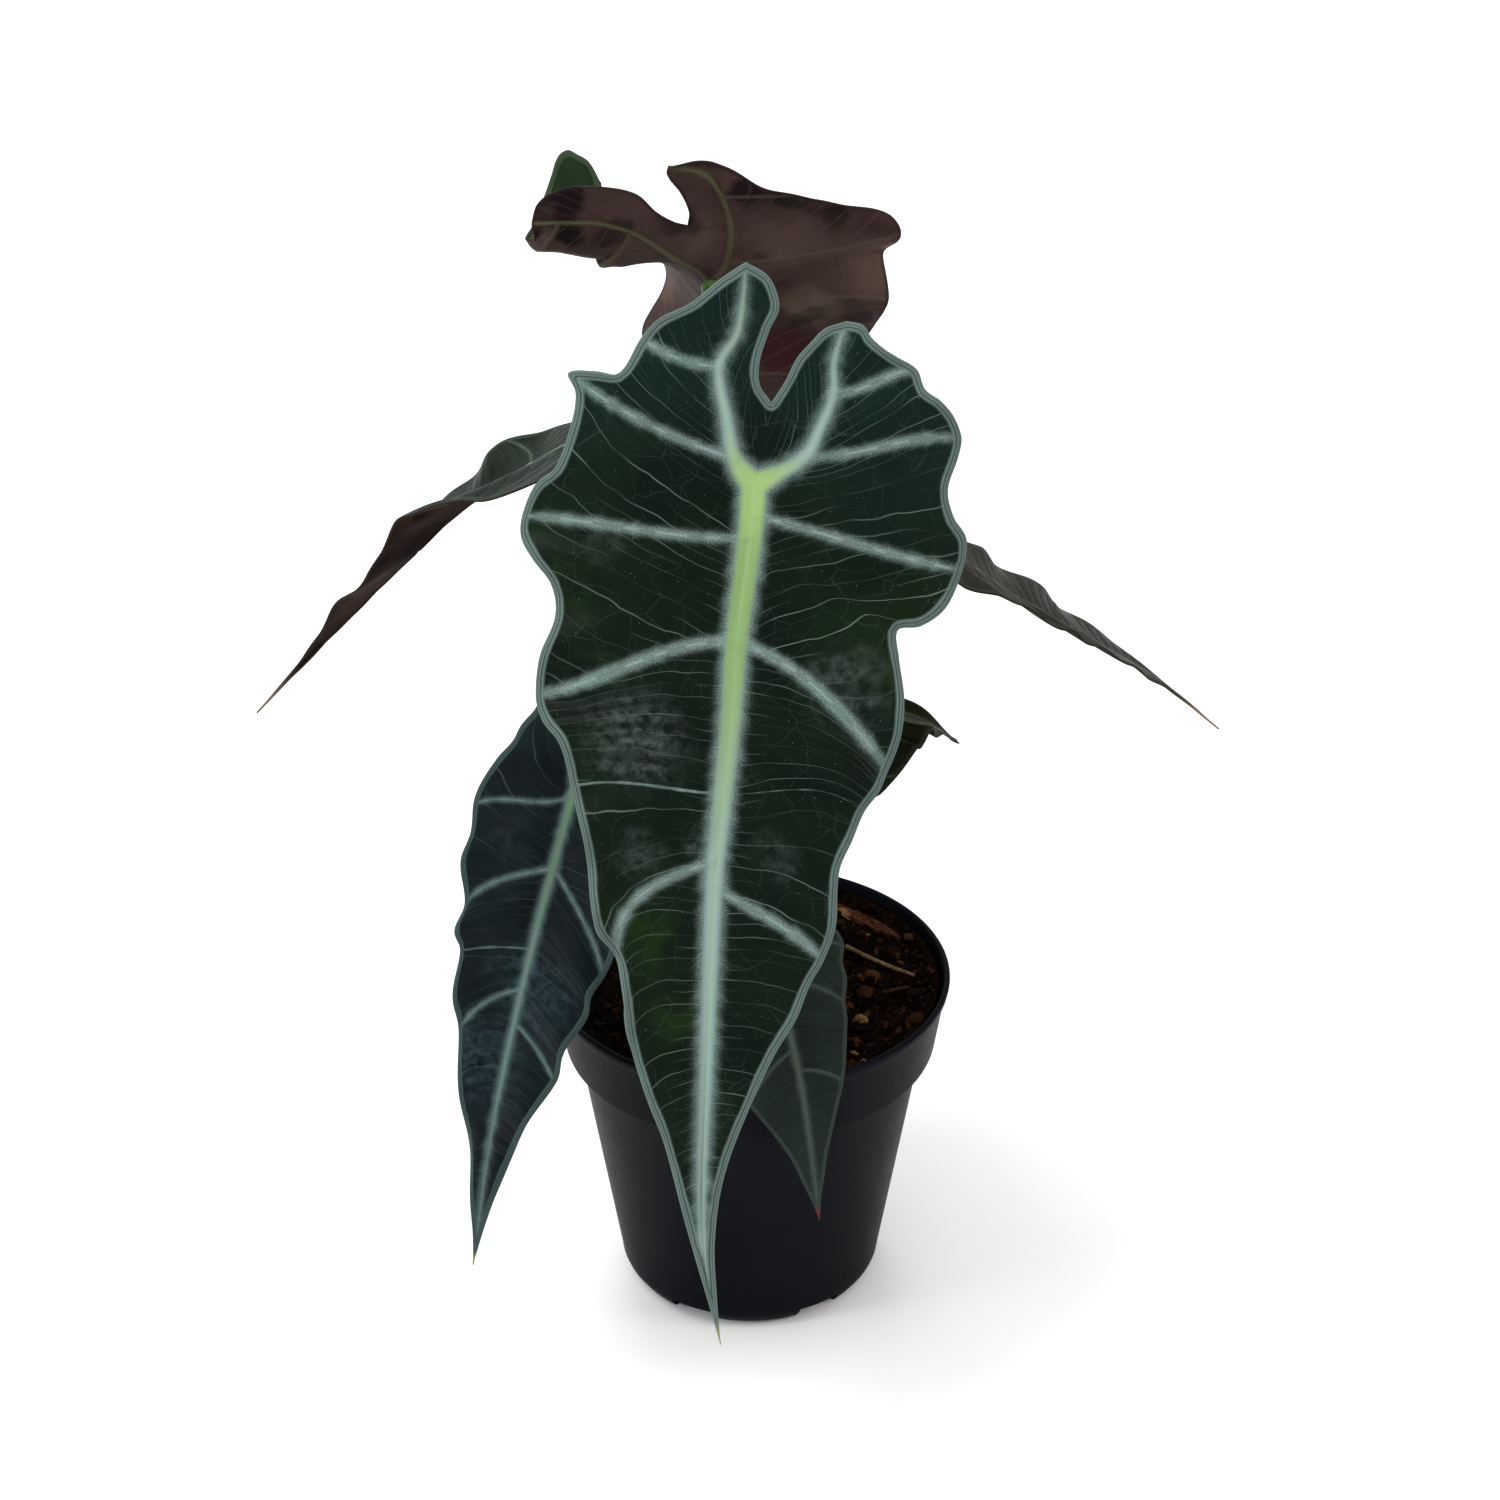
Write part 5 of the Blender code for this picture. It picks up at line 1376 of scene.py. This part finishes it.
def add_blade(name, leaf):
    tint = made_linear({**PLAIN_TINT, **TINTS[name], "length": BLADES[name].midrib.length})
    step, columns = GRID[name]
    mesh, thickness = blade_mesh(name, leaf, step, columns, tint["scale"], tint["slim"])
    mesh.materials.append(upper_face(f"upper_{name}", tint))
    mesh.materials.append(under_face(f"under_{name}", tint))
    piece = add_piece(f"blade_{name}", mesh, f"leaf_{name}")
    group = piece.vertex_groups.new(name="keel")
    for index, weight in enumerate(thickness):
        group.add([index], weight, "REPLACE")
    solid = piece.modifiers.new("Thickness", "SOLIDIFY")
    solid.thickness = THICK * MM
    solid.offset = -1.0
    solid.vertex_group = group.name
    solid.thickness_vertex_group = THIN / THICK
    solid.material_offset = 1
    solid.material_offset_rim = tint["rim_below"]
    return piece


for name, leaf in LEAVES.items():
    piece = add_blade(name, leaf)
    print(piece.name, triangles(piece), "triangles")

# %% [markdown]
# ## The stalks
# The real stalks are fleshy and round, as thick as a pencil on the large leaves. They are green
# with a purple brown mottling and paler at the foot, where each wraps round the next. The
# photograph hides them behind the front blade, so their colour is a guess from plants of this
# kind. Each runs on one bent line, straight up from the soil and square into its blade.

# %% A stalk's line
SOIL_LEVEL = 98.0
CROWN_RADIUS = 12.0
STALK_DEPTH = 14.0
JOINT_DEPTH = 2.4
STALK_STEPS = 56


def stalk_line(name, leaf):
    """Points and radii of a stalk, from in the soil to the underside of the junction."""
    thick, thin, rise, reach = leaf["petiole"]
    place, _, up = (rows[0] for rows in BLADES[name].frames(np.zeros(1)))
    angle = math.radians(leaf["crown"])
    start = np.array([CROWN_RADIUS * math.cos(angle), CROWN_RADIUS * math.sin(angle), SOIL_LEVEL])
    end = place - up * JOINT_DEPTH
    t = np.linspace(0, 1, STALK_STEPS)[:, None]
    first, second = start + (0, 0, rise), end - up * reach
    points = (1 - t) ** 3 * start + 3 * t * (1 - t) ** 2 * first
    points += 3 * t * t * (1 - t) * second + t**3 * end
    t = t[:, 0]
    radii = thick + (thin - thick) * t**0.7
    radii *= 1 + 0.10 * np.exp(-((t / 0.12) ** 2)) + 0.18 * np.exp(-(((1 - t) / 0.02) ** 2))
    points = np.vstack([start - (0, 0, STALK_DEPTH), points])
    return points, np.concatenate([radii[:1], radii])


print("stalks stand in a ring of", 2 * CROWN_RADIUS, "mm, in", len(LEAVES), "places")

# %% [markdown]
# ## Tubes and their skin
# A stalk could be a row of rings, but a curve with a round bevel does the same with less. It is
# made a mesh, with a radius of its own at each point, so that it can swell at both ends. Its skin
# reads how high each point lies along it.

# %% Build the stalks
def tube(name, points, radii, sides):
    """A round tube through the points, as a mesh."""
    curve = bpy.data.curves.new(name, "CURVE")
    curve.dimensions = "3D"
    curve.bevel_depth = MM
    curve.bevel_resolution = sides // 4
    curve.use_fill_caps = True
    spline = curve.splines.new("POLY")
    spline.points.add(len(points) - 1)
    for point, place, radius in zip(spline.points, points, radii):
        point.co = (*(place * MM), 1.0)
        point.radius = radius
    holder = add_object(name, curve)
    shown = holder.evaluated_get(bpy.context.evaluated_depsgraph_get())
    mesh = bpy.data.meshes.new_from_object(shown)
    bpy.data.objects.remove(holder)
    mesh.name = name
    mesh.materials.clear()
    mesh.shade_smooth()
    return mesh


def stalk_finish():
    finish = Finish("stalk", ior=1.45, specular_ior_level=0.2)
    place = finish.object()
    height = finish.attribute("height")
    green = finish.mix(height.rise(0.0, 0.6), linear(84, 104, 52), linear(58, 88, 42))
    green = finish.mix(finish.noise(place, 160.0, 2.0).rise(0.3, 0.7), green, linear(74, 98, 50))
    stretch = finish.add("Mapping", None, {"Vector": place, "Scale": (1.0, 1.0, 0.28)})
    spots = finish.noise(stretch, 620.0, 3.0, 0.6).rise(0.53, 0.60)
    bars = finish.noise(stretch, 190.0, 2.0, 0.6).rise(0.50, 0.62)
    cover = (spots * 0.55 + bars * 0.4) * height.rise(-0.1, 0.25)
    colour = finish.mix(cover.held(), green, linear(58, 34, 32))
    pale = height.rise(0.16, 0.02)
    colour = finish.mix(pale * 0.75, colour, linear(128, 132, 84))
    finish.set("Base Color", colour)
    finish.set("Roughness", 0.38 + finish.noise(place, 300.0, 2.0) * 0.14)
    ribs = finish.noise(stretch, 900.0, 2.0)
    finish.set("Normal", finish.bump(ribs, 0.0003, 0.4))
    return finish.material


stalk_material = stalk_finish()
for name, leaf in LEAVES.items():
    points, radii = stalk_line(name, leaf)
    mesh = tube(f"stalk_{name}", points, radii, 24)
    places = np.array([vertex.co for vertex in mesh.vertices]) / MM
    run = nearest(places, points)[1] - STALK_DEPTH
    store(mesh, "height", np.clip(run / run.max(), 0, 1))
    mesh.materials.append(stalk_material)
    piece = add_piece(f"stalk_{name}", mesh, f"petiole_{name}")
    print(piece.name, round(run.max()), "mm of it above the soil")

# %% [markdown]
# ## The pot
# A nursery pot is one thin shell of black plastic, formed over a mould. It has a rolled lip and a
# wider collar that lets pots nest. A modifier could thicken a single wall, but here the section
# itself goes up the outside, over a round lip and down the inside, and is turned about the axis.

# %% The pot's section
RIM_RADIUS, POT_HEIGHT, WALL = 60.0, 105.0, 1.3
COLLAR_RADIUS, COLLAR_BOTTOM = 56.0, 82.0
SHOULDER_RADIUS = 52.2
FOOT_RADIUS, FOOT_HEIGHT = 40.2, 8.0
BASE_RADIUS = 35.0


def turned(shape, profile, segments):
    """Turns a (radius, height) line about the pot's axis."""
    points = [shape.verts.new((radius * MM, 0.0, height * MM)) for radius, height in profile]
    edges = [shape.edges.new(pair) for pair in zip(points, points[1:])]
    around = {"axis": (0, 0, 1), "cent": (0, 0, 0), "angle": 2 * math.pi, "use_merge": True}
    bmesh.ops.spin(shape, geom=points + edges, steps=segments, **around)
    bmesh.ops.remove_doubles(shape, verts=shape.verts[:], dist=0.00001)
    bmesh.ops.recalc_face_normals(shape, faces=shape.faces[:])


def mesh_of(shape, name):
    mesh = bpy.data.meshes.new(name)
    shape.to_mesh(mesh)
    shape.free()
    return mesh


def pot_profile():
    """The shell's section: up the outside, over the lip and down the inside."""
    lip = [
        (RIM_RADIUS + math.cos(turn) * 1.0 - 1.0, POT_HEIGHT - 1.0 + math.sin(turn) * 1.0)
        for turn in np.radians(np.linspace(-30, 90, 6))
    ]
    inside = RIM_RADIUS - WALL - 0.6
    inner_lip = [
        (inside + 0.9 - math.sin(turn) * 0.9, POT_HEIGHT - 0.9 + math.cos(turn) * 0.9)
        for turn in np.radians(np.linspace(0, 80, 5))
    ]
    return [
        (0.0, 0.0), (BASE_RADIUS - 0.4, 0.0), (BASE_RADIUS + 0.6, 0.1), (BASE_RADIUS + 2.4, 1.2),
        (FOOT_RADIUS - 1.0, 3.8), (FOOT_RADIUS - 0.3, 5.6), (FOOT_RADIUS, FOOT_HEIGHT),
        (FOOT_RADIUS + 0.9, FOOT_HEIGHT + 5.5), (SHOULDER_RADIUS - 0.3, COLLAR_BOTTOM - 1.6),
        (SHOULDER_RADIUS + 0.5, COLLAR_BOTTOM - 0.5), (SHOULDER_RADIUS + 1.3, COLLAR_BOTTOM - 0.1),
        (COLLAR_RADIUS - 1.0, COLLAR_BOTTOM), (COLLAR_RADIUS - 0.3, COLLAR_BOTTOM + 0.3),
        (COLLAR_RADIUS, COLLAR_BOTTOM + 1.1), (RIM_RADIUS - 1.3, POT_HEIGHT - 4.4),
        (RIM_RADIUS - 0.9, POT_HEIGHT - 3.8), (RIM_RADIUS - 0.3, POT_HEIGHT - 2.6),
        *lip,
        *inner_lip,
        (inside - 0.1, POT_HEIGHT - 3.0), (COLLAR_RADIUS - WALL, COLLAR_BOTTOM + WALL + 1.0),
        (SHOULDER_RADIUS - WALL, COLLAR_BOTTOM + WALL), (FOOT_RADIUS - WALL, FOOT_HEIGHT),
        (FOOT_RADIUS - WALL - 1.0, 4.4), (BASE_RADIUS + 0.4, 1.9), (BASE_RADIUS - 1.0, WALL),
        (0.0, WALL),
    ]


print("the pot's section has", len(pot_profile()), "points")

# %% [markdown]
# ## The notches and the plastic
# Water leaves the pot through notches at its foot, between the feet that it stands on. Blocks are
# cut from the shell for them. The plastic is nearly black and satin, with a little pale dust and
# faint marks that run down the wall.

# %% Build the pot
NOTCHES, NOTCH_TURN = 6, 3.0
NOTCH_SIZE = (9.0, 14.0, 10.0)
NOTCH_RADIUS = 37.0


def cut_notches(mesh):
    """Cuts the drain notches and returns the mesh that is left."""
    shape = bmesh.new()
    for index in range(NOTCHES):
        made = bmesh.ops.create_cube(shape, size=1.0)["verts"]
        bmesh.ops.scale(shape, verts=made, vec=Vector(NOTCH_SIZE) * MM)
        bmesh.ops.translate(shape, verts=made, vec=Vector((NOTCH_RADIUS, 0, 0)) * MM)
        turn = Matrix.Rotation(math.radians(NOTCH_TURN + 360 / NOTCHES * index), 3, "Z")
        bmesh.ops.rotate(shape, verts=made, cent=(0, 0, 0), matrix=turn)
    blocks, shell = add_object("blocks", mesh_of(shape, "blocks")), add_object("shell", mesh)
    cut = shell.modifiers.new("Notches", "BOOLEAN")
    cut.object, cut.solver = blocks, "EXACT"
    shown = shell.evaluated_get(bpy.context.evaluated_depsgraph_get())
    left = bpy.data.meshes.new_from_object(shown)
    for holder in (blocks, shell):
        bpy.data.objects.remove(holder)
    return left


def pot_finish():
    finish = Finish("black_plastic", ior=1.49, specular_ior_level=0.014)
    place = finish.object()
    cloud = finish.noise(place, 28.0, 3.0, 0.6)
    dust = finish.noise(place, 300.0, 3.0, 0.7)
    colour = finish.mix(cloud.rise(0.35, 0.7), linear(13, 14, 19), linear(17, 18, 22))
    specks = dust.rise(0.66, 0.74) * finish.noise(place, 40.0, 1.0).rise(0.4, 0.7)
    colour = finish.mix(specks * 0.2, colour, linear(54, 48, 42))
    finish.set("Base Color", colour)
    finish.set("Roughness", 0.40 + (cloud - 0.5) * 0.16 + (dust - 0.5) * 0.12)
    grain = finish.noise(place, 1500.0, 2.0)
    spread = finish.add("Mapping", None, {"Vector": place, "Scale": (1.0, 1.0, 0.12)})
    drag = finish.noise(spread, 420.0, 2.0)
    finish.set("Normal", finish.bump(grain * 0.5 + drag * 0.5, 0.0002, 0.35))
    return finish.material


shape = bmesh.new()
turned(shape, pot_profile(), 168)
pot_mesh = cut_notches(mesh_of(shape, "pot"))
pot_mesh.shade_smooth()
pot_mesh.set_sharp_from_angle(angle=math.radians(40))
pot_mesh.materials.clear()
pot_mesh.materials.append(pot_finish())
pot = add_piece("nursery_pot", pot_mesh, "pot")
print("pot:", triangles(pot), "triangles")

# %% [markdown]
# ## The soil
# The mix is dark peat with bark, and it fills the pot. Its body is turned like the pot, and its top
# is raised by noise and heaped up a little along the wall. An image could push the top up as well,
# but noise needs no file, and the crumbs can ask it for their height.

# %% The soil's body
SOIL_WALL = WALL + 0.6
SOIL_TOP = 56.6
SOIL_RINGS = 54
BANK_START, BANK_HEIGHT = 51.0, 4.4


def roughness(x, y):
    """How far the soil's top stands above its plain level by its lumps, in millimetres."""
    broad = noise.noise(Vector((x / 21, y / 21, 3.7))) * 1.0
    middle = noise.noise(Vector((x / 6.5, y / 6.5, 9.1))) * 0.9
    small = noise.noise(Vector((x / 2.4, y / 2.4, 1.3))) * 0.5
    return broad + middle + small


def banked(x, y):
    """How far the soil is heaped up against the pot's wall, in millimetres."""
    past = min(max((math.hypot(x, y) - BANK_START) / (SOIL_TOP - BANK_START), 0.0), 1.0)
    return BANK_HEIGHT * past * past * (3 - 2 * past)


def soil_body():
    profile = [
        (0.0, SOIL_WALL), (BASE_RADIUS - 2.0, SOIL_WALL), (FOOT_RADIUS - SOIL_WALL - 1.6, 6.0),
        (SHOULDER_RADIUS - SOIL_WALL, COLLAR_BOTTOM + SOIL_WALL),
        (COLLAR_RADIUS - SOIL_WALL - 0.3, COLLAR_BOTTOM + SOIL_WALL),
    ]
    rings = SOIL_RINGS
    profile += [(SOIL_TOP * (1 - ring / rings), SOIL_LEVEL) for ring in range(rings + 1)]
    shape = bmesh.new()
    turned(shape, profile, 150)
    for vertex in shape.verts:
        x, y, z = vertex.co / MM
        if z > SOIL_LEVEL - 0.5:
            rough = roughness(x, y) * min(1.0, (SOIL_TOP - math.hypot(x, y)) / 2)
            vertex.co.z += (rough + banked(x, y)) * MM
    mesh = mesh_of(shape, "soil")
    mesh.shade_smooth()
    return mesh


print("the soil is heaped up along the wall by", BANK_HEIGHT, "mm")

# %% [markdown]
# ## Crumbs and chips
# The soil's top is a bed of crumbs. Crumbs of all sizes are scattered over it, each a small ball of
# few faces with its points pushed about and a shade of its own. A few flat chips of bark lie among
# them. Every draw is seeded, so the bed is the same each time.

# %% Crumbs and chips
CRUMBS, CRUMB_SIZE, LARGEST_CRUMB = 2600, 0.9, 5.0
CHIPS, CHIP_SIZES, CHIP_SHADES, CHIP_FLATNESS = 60, (2.6, 5.2), (0.35, 0.8), 0.35
CRUMB_SPREAD, CRUMB_LEAN = (0.25, 0.6), (0, 0.35)


def crumb(shape, layer, draw, place, size, shade, flatness=1.0):
    """One crumb, lying about half sunk at a place. A chip of bark has a flatness under 1."""
    long, broad, deep = size * draw.uniform(0.9, 1.7), size, size * draw.uniform(0.45, 0.9)
    deep = deep * flatness
    turn = Matrix.Rotation(draw.uniform(0, 2 * math.pi), 4, "Z")
    tip = Matrix.Rotation(draw.gauss(*CRUMB_LEAN), 4, "X")
    lean = Matrix.Rotation(draw.gauss(*CRUMB_LEAN), 4, "Y")
    scale = Matrix.Diagonal((long * MM, broad * MM, deep * MM, 1.0))
    matrix = Matrix.Translation(place * MM) @ turn @ tip @ lean @ scale
    fine = 2 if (size > 1.7) else 1
    made = bmesh.ops.create_icosphere(shape, subdivisions=fine, radius=0.5, matrix=matrix)
    for vertex in made["verts"]:
        vertex.co += Vector([draw.uniform(-1, 1) for _ in range(3)]) * size * 0.10 * MM
        vertex[layer] = shade


def crumb_bed():
    draw = random.Random(77)
    shape = bmesh.new()
    layer = shape.verts.layers.float.new("shade")
    for _ in range(CRUMBS):
        radius = (SOIL_TOP - 1.2) * math.sqrt(draw.random())
        angle = draw.uniform(0, 2 * math.pi)
        x, y = radius * math.cos(angle), radius * math.sin(angle)
        size = min(CRUMB_SIZE * draw.lognormvariate(*CRUMB_SPREAD), LARGEST_CRUMB)
        if radius > SOIL_TOP - size * 0.6:
            continue
        height = SOIL_LEVEL + roughness(x, y) + banked(x, y) + size * draw.uniform(-0.1, 0.25)
        crumb(shape, layer, draw, Vector((x, y, height)), size, draw.random())
    for _ in range(CHIPS):
        radius, angle = (SOIL_TOP - 6) * math.sqrt(draw.random()), draw.uniform(0, 2 * math.pi)
        x, y = radius * math.cos(angle), radius * math.sin(angle)
        place = Vector((x, y, SOIL_LEVEL + roughness(x, y) + banked(x, y) + 0.2))
        size, shade = draw.uniform(*CHIP_SIZES), draw.uniform(*CHIP_SHADES)
        crumb(shape, layer, draw, place, size, shade, CHIP_FLATNESS)
    mesh = mesh_of(shape, "crumbs")
    mesh.set_sharp_from_angle(angle=math.radians(32))
    return mesh


print("crumbs:", CRUMBS, "and chips of bark:", CHIPS)

# %% [markdown]
# ## The soil's finish
# Damp peat is nearly black, and the bark in it is red brown. One finish serves both pieces: the
# crumbs' shades pick their browns, and the soil lies darker in damp patches, with a painted shade
# towards its left side, which the leaves shade.

# %% Build the soil
def soil_finish(name, shaded):
    finish = Finish(name, ior=1.4, specular_ior_level=0.01)
    place = finish.object()
    grains = finish.noise(place, 520.0, 4.0, 0.65)
    colour = finish.mix(grains.rise(0.35, 0.7), linear(4, 2, 1), linear(26, 15, 8))
    if shaded:
        shade = finish.attribute("shade")
        colour = finish.mix(shade.rise(0.5, 0.85) * 0.85, colour, linear(66, 40, 23))
        colour = finish.mix(shade.rise(0.965, 0.975), colour, linear(112, 84, 54))
        colour = finish.mix(shade.rise(0.40, 0.10) * 0.8, colour, linear(5, 3, 2))
    damp = finish.noise(place, 30.0, 2.0).rise(0.48, 0.60)
    # Painted shade: the soil darkens towards its left side, which the leaves shade.
    behind = finish.add("SeparateXYZ", None, [place], "X").rise(0.016, -0.014)
    colour = finish.mix(damp.most(behind) * 0.8, colour, linear(3, 2, 2))
    finish.set("Base Color", colour)
    finish.set("Roughness", 0.72 + (grains - 0.5) * 0.3)
    fibres = finish.noise(place, 1400.0, 3.0, 0.7)
    finish.set("Normal", finish.bump(grains + fibres * 0.5, 0.0008, 0.8))
    return finish.material


soil_mesh, crumbs_mesh = soil_body(), crumb_bed()
soil_mesh.materials.append(soil_finish("peat", False))
crumbs_mesh.materials.append(soil_finish("crumbs", True))
soil = add_piece("soil_body", soil_mesh, "soil")
crumbs = add_piece("soil_crumbs", crumbs_mesh, "soil")
print("soil:", triangles(soil), "triangles and crumbs:", triangles(crumbs))

# %% [markdown]
# ## Bark and straw
# Three bits on the soil are large enough to be seen as things of their own: a reddish strip of
# bark, a straw and a dark twig. The strip is a thin slab, rough along its grain, and the other two
# are thin bent tubes.

# %% Build the bits on the soil
# For each bit: its solid, its middle line's flat ends, its dark and light colour and roughness.
BITS = {
    "bark": ("bark_strip", (27.0, 44.0), (47.0, 26.0), (30, 15, 9), (78, 44, 28), 0.6),
    "straw": ("straw_twig", (29.5, 20.5), (49.5, 4.5), (78, 60, 40), (124, 100, 70), 0.5),
    "twig": ("dark_twig", (35.5, -6.2), (50.5, -0.2), (22, 13, 9), (52, 33, 22), 0.65),
}
BARK_BREADTH, BARK_DEPTH = 4.0, 1.3
# The tubes' radius, bend and seed.
TUBES = {"straw": (0.72, 0.8, 2.0), "twig": (0.6, -0.6, 5.0)}


def bent_tube(name, start, end, thick, bend, seed):
    """A tube from start to end with a slight bend and uneven thickness."""
    t = np.linspace(0, 1, 26)[:, None]
    middle = (1 - t) * start + t * end
    across = np.cross(end - start, (0, 0, 1))
    middle = middle + across / np.linalg.norm(across) * bend * np.sin(math.pi * t)
    uneven = [noise.noise(Vector((k * 0.9, seed, 0))) for k in range(len(t))]
    radii = thick * (1 + 0.22 * np.array(uneven)) * (1 - 0.35 * t[:, 0] ** 3)
    return tube(name, middle, radii, 12)


def bark_slab(name, start, end, broad, deep):
    """A strip of bark, ragged along its edges and furrowed along its grain."""
    shape = bmesh.new()
    bmesh.ops.create_cube(shape, size=1.0)
    bmesh.ops.subdivide_edges(shape, edges=shape.edges[:], cuts=14, use_grid_fill=True)
    length = float(np.linalg.norm((end - start)[:2]))
    for vertex in shape.verts:
        x, y, z = vertex.co
        ragged = noise.noise(Vector((x * 9, y * 1.3, 4.4))) * 0.22
        furrow = noise.noise(Vector((x * 3, y * 9, 8.8))) * 0.30
        narrow = 1 - 0.62 * max(0.0, x + 0.1) ** 1.4 - 0.25 * max(0.0, -x - 0.35)
        vertex.co = (x * length, (y + ragged * y) * broad * narrow, (z + furrow * (z > 0)) * deep)
    turn = Matrix.Rotation(math.atan2(*(end - start)[1::-1]), 4, "Z")
    matrix = Matrix.Translation(Vector((start + end) / 2)) @ turn
    bmesh.ops.transform(shape, matrix=Matrix.Scale(MM, 4) @ matrix, verts=shape.verts[:])
    return mesh_of(shape, name)


def fibre_finish(name, dark, light, rough):
    finish = Finish(name, ior=1.4, specular_ior_level=0.03)
    place = finish.object()
    grain = finish.noise(place, 700.0, 3.0, 0.65)
    finish.set("Base Color", finish.mix(grain.rise(0.3, 0.7), dark, light))
    finish.set("Roughness", rough + (grain - 0.5) * 0.2)
    finish.set("Normal", finish.bump(grain, 0.0005, 0.7))
    return finish.material


for name, (node, first, last, dark, light, rough) in BITS.items():
    low, high = (corner[2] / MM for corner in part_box(node))
    start, end = (np.array([*flat, (low + high) / 2]) for flat in (first, last))
    if name in TUBES:
        mesh = bent_tube(name, start, end, *TUBES[name])
    else:
        mesh = bark_slab(name, start, end, BARK_BREADTH, BARK_DEPTH)
    mesh.shade_smooth()
    mesh.set_sharp_from_angle(angle=math.radians(50))
    mesh.materials.append(fibre_finish(name, linear(*dark), linear(*light), rough))
    add_piece(name, mesh, node)
print("bits on the soil:", len(BITS))

# %% [markdown]
# ## Floor, light and camera
# The photograph has a plain white ground and soft light from all round, with its strongest part
# high at the left. A pale floor, a white world and four large soft lights come close to that.
# The camera stands where the pot's ellipses and the leaves' places in the photograph put it.

# %% Set the stage
FLOOR_SIZE, FLOOR_DROP, FLOOR_GREY = 4.0, 0.0004, 0.93
LENS, SENSOR = 83.0, 36.0
CAMERA_PLACE, CAMERA_TILT = (0.0, -0.8695, 0.6744), 29.6
LIGHTS_AIM = Vector((0.0, 0.0, 0.16))
# For each light: its place and width in metres, its power in watts and its colour.
LIGHTS = {
    "high_left": ((-0.7, -0.3, 1.6), 0.8, 14.0, (1.0, 0.99, 0.97)),
    "right": ((1.2, -0.4, 0.9), 0.5, 5.0, (1.0, 0.94, 0.86)),
    "left": ((-1.3, -0.5, 0.7), 0.5, 5.0, (0.86, 0.93, 1.0)),
    "behind": ((-0.2, 1.3, 1.2), 0.9, 6.0, (0.97, 0.99, 1.0)),
}
WORLD_STRENGTH = 0.95


def add_floor():
    shape = bmesh.new()
    bmesh.ops.create_grid(shape, x_segments=2, y_segments=2, size=FLOOR_SIZE)
    mesh = mesh_of(shape, "floor")
    finish = Finish("pale_floor", base_color=(FLOOR_GREY,) * 3, roughness=0.8)
    finish.set("Specular IOR Level", 0.1)
    mesh.materials.append(finish.material)
    floor = add_object("floor", mesh)
    floor.location.z = -FLOOR_DROP
    floor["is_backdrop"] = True


def add_light(name, place, size, power, colour):
    light = bpy.data.lights.new(name, "AREA")
    light.shape, light.size = "DISK", size
    light.energy, light.color = power, colour
    holder = add_object(name, light)
    holder.location = place
    holder.rotation_euler = (LIGHTS_AIM - Vector(place)).to_track_quat("-Z", "Y").to_euler()


def set_world():
    world = bpy.data.worlds.new("soft_white")
    world.use_nodes = True
    backdrop = world.node_tree.nodes["Background"]
    backdrop.inputs["Color"].default_value = (1.0, 1.0, 1.0, 1.0)
    backdrop.inputs["Strength"].default_value = WORLD_STRENGTH
    bpy.context.scene.world = world


def add_camera():
    camera = bpy.data.cameras.new("photo_view")
    camera.lens, camera.sensor_width = LENS, SENSOR
    holder = add_object("photo_view", camera)
    holder.location = CAMERA_PLACE
    holder.rotation_euler = (math.radians(90 - CAMERA_TILT), 0.0, 0.0)
    bpy.context.scene.camera = holder


add_floor()
for name, light in LIGHTS.items():
    add_light(name, *light)
set_world()
add_camera()
bpy.context.scene.view_settings.view_transform = "Standard"

# %% [markdown]
# ## The size of the pieces
# The finer pieces have to keep the form of the solids that they stand for. Both boxes are written
# out, so that they can be compared after a render.

# %% Write both boxes and finish
boxes = {"cad": [list(corner) for corner in cad_box], "shown": [list(c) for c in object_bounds()]}
for name, (low, high) in boxes.items():
    print(name, [round(value * 1000, 1) for value in low + high])
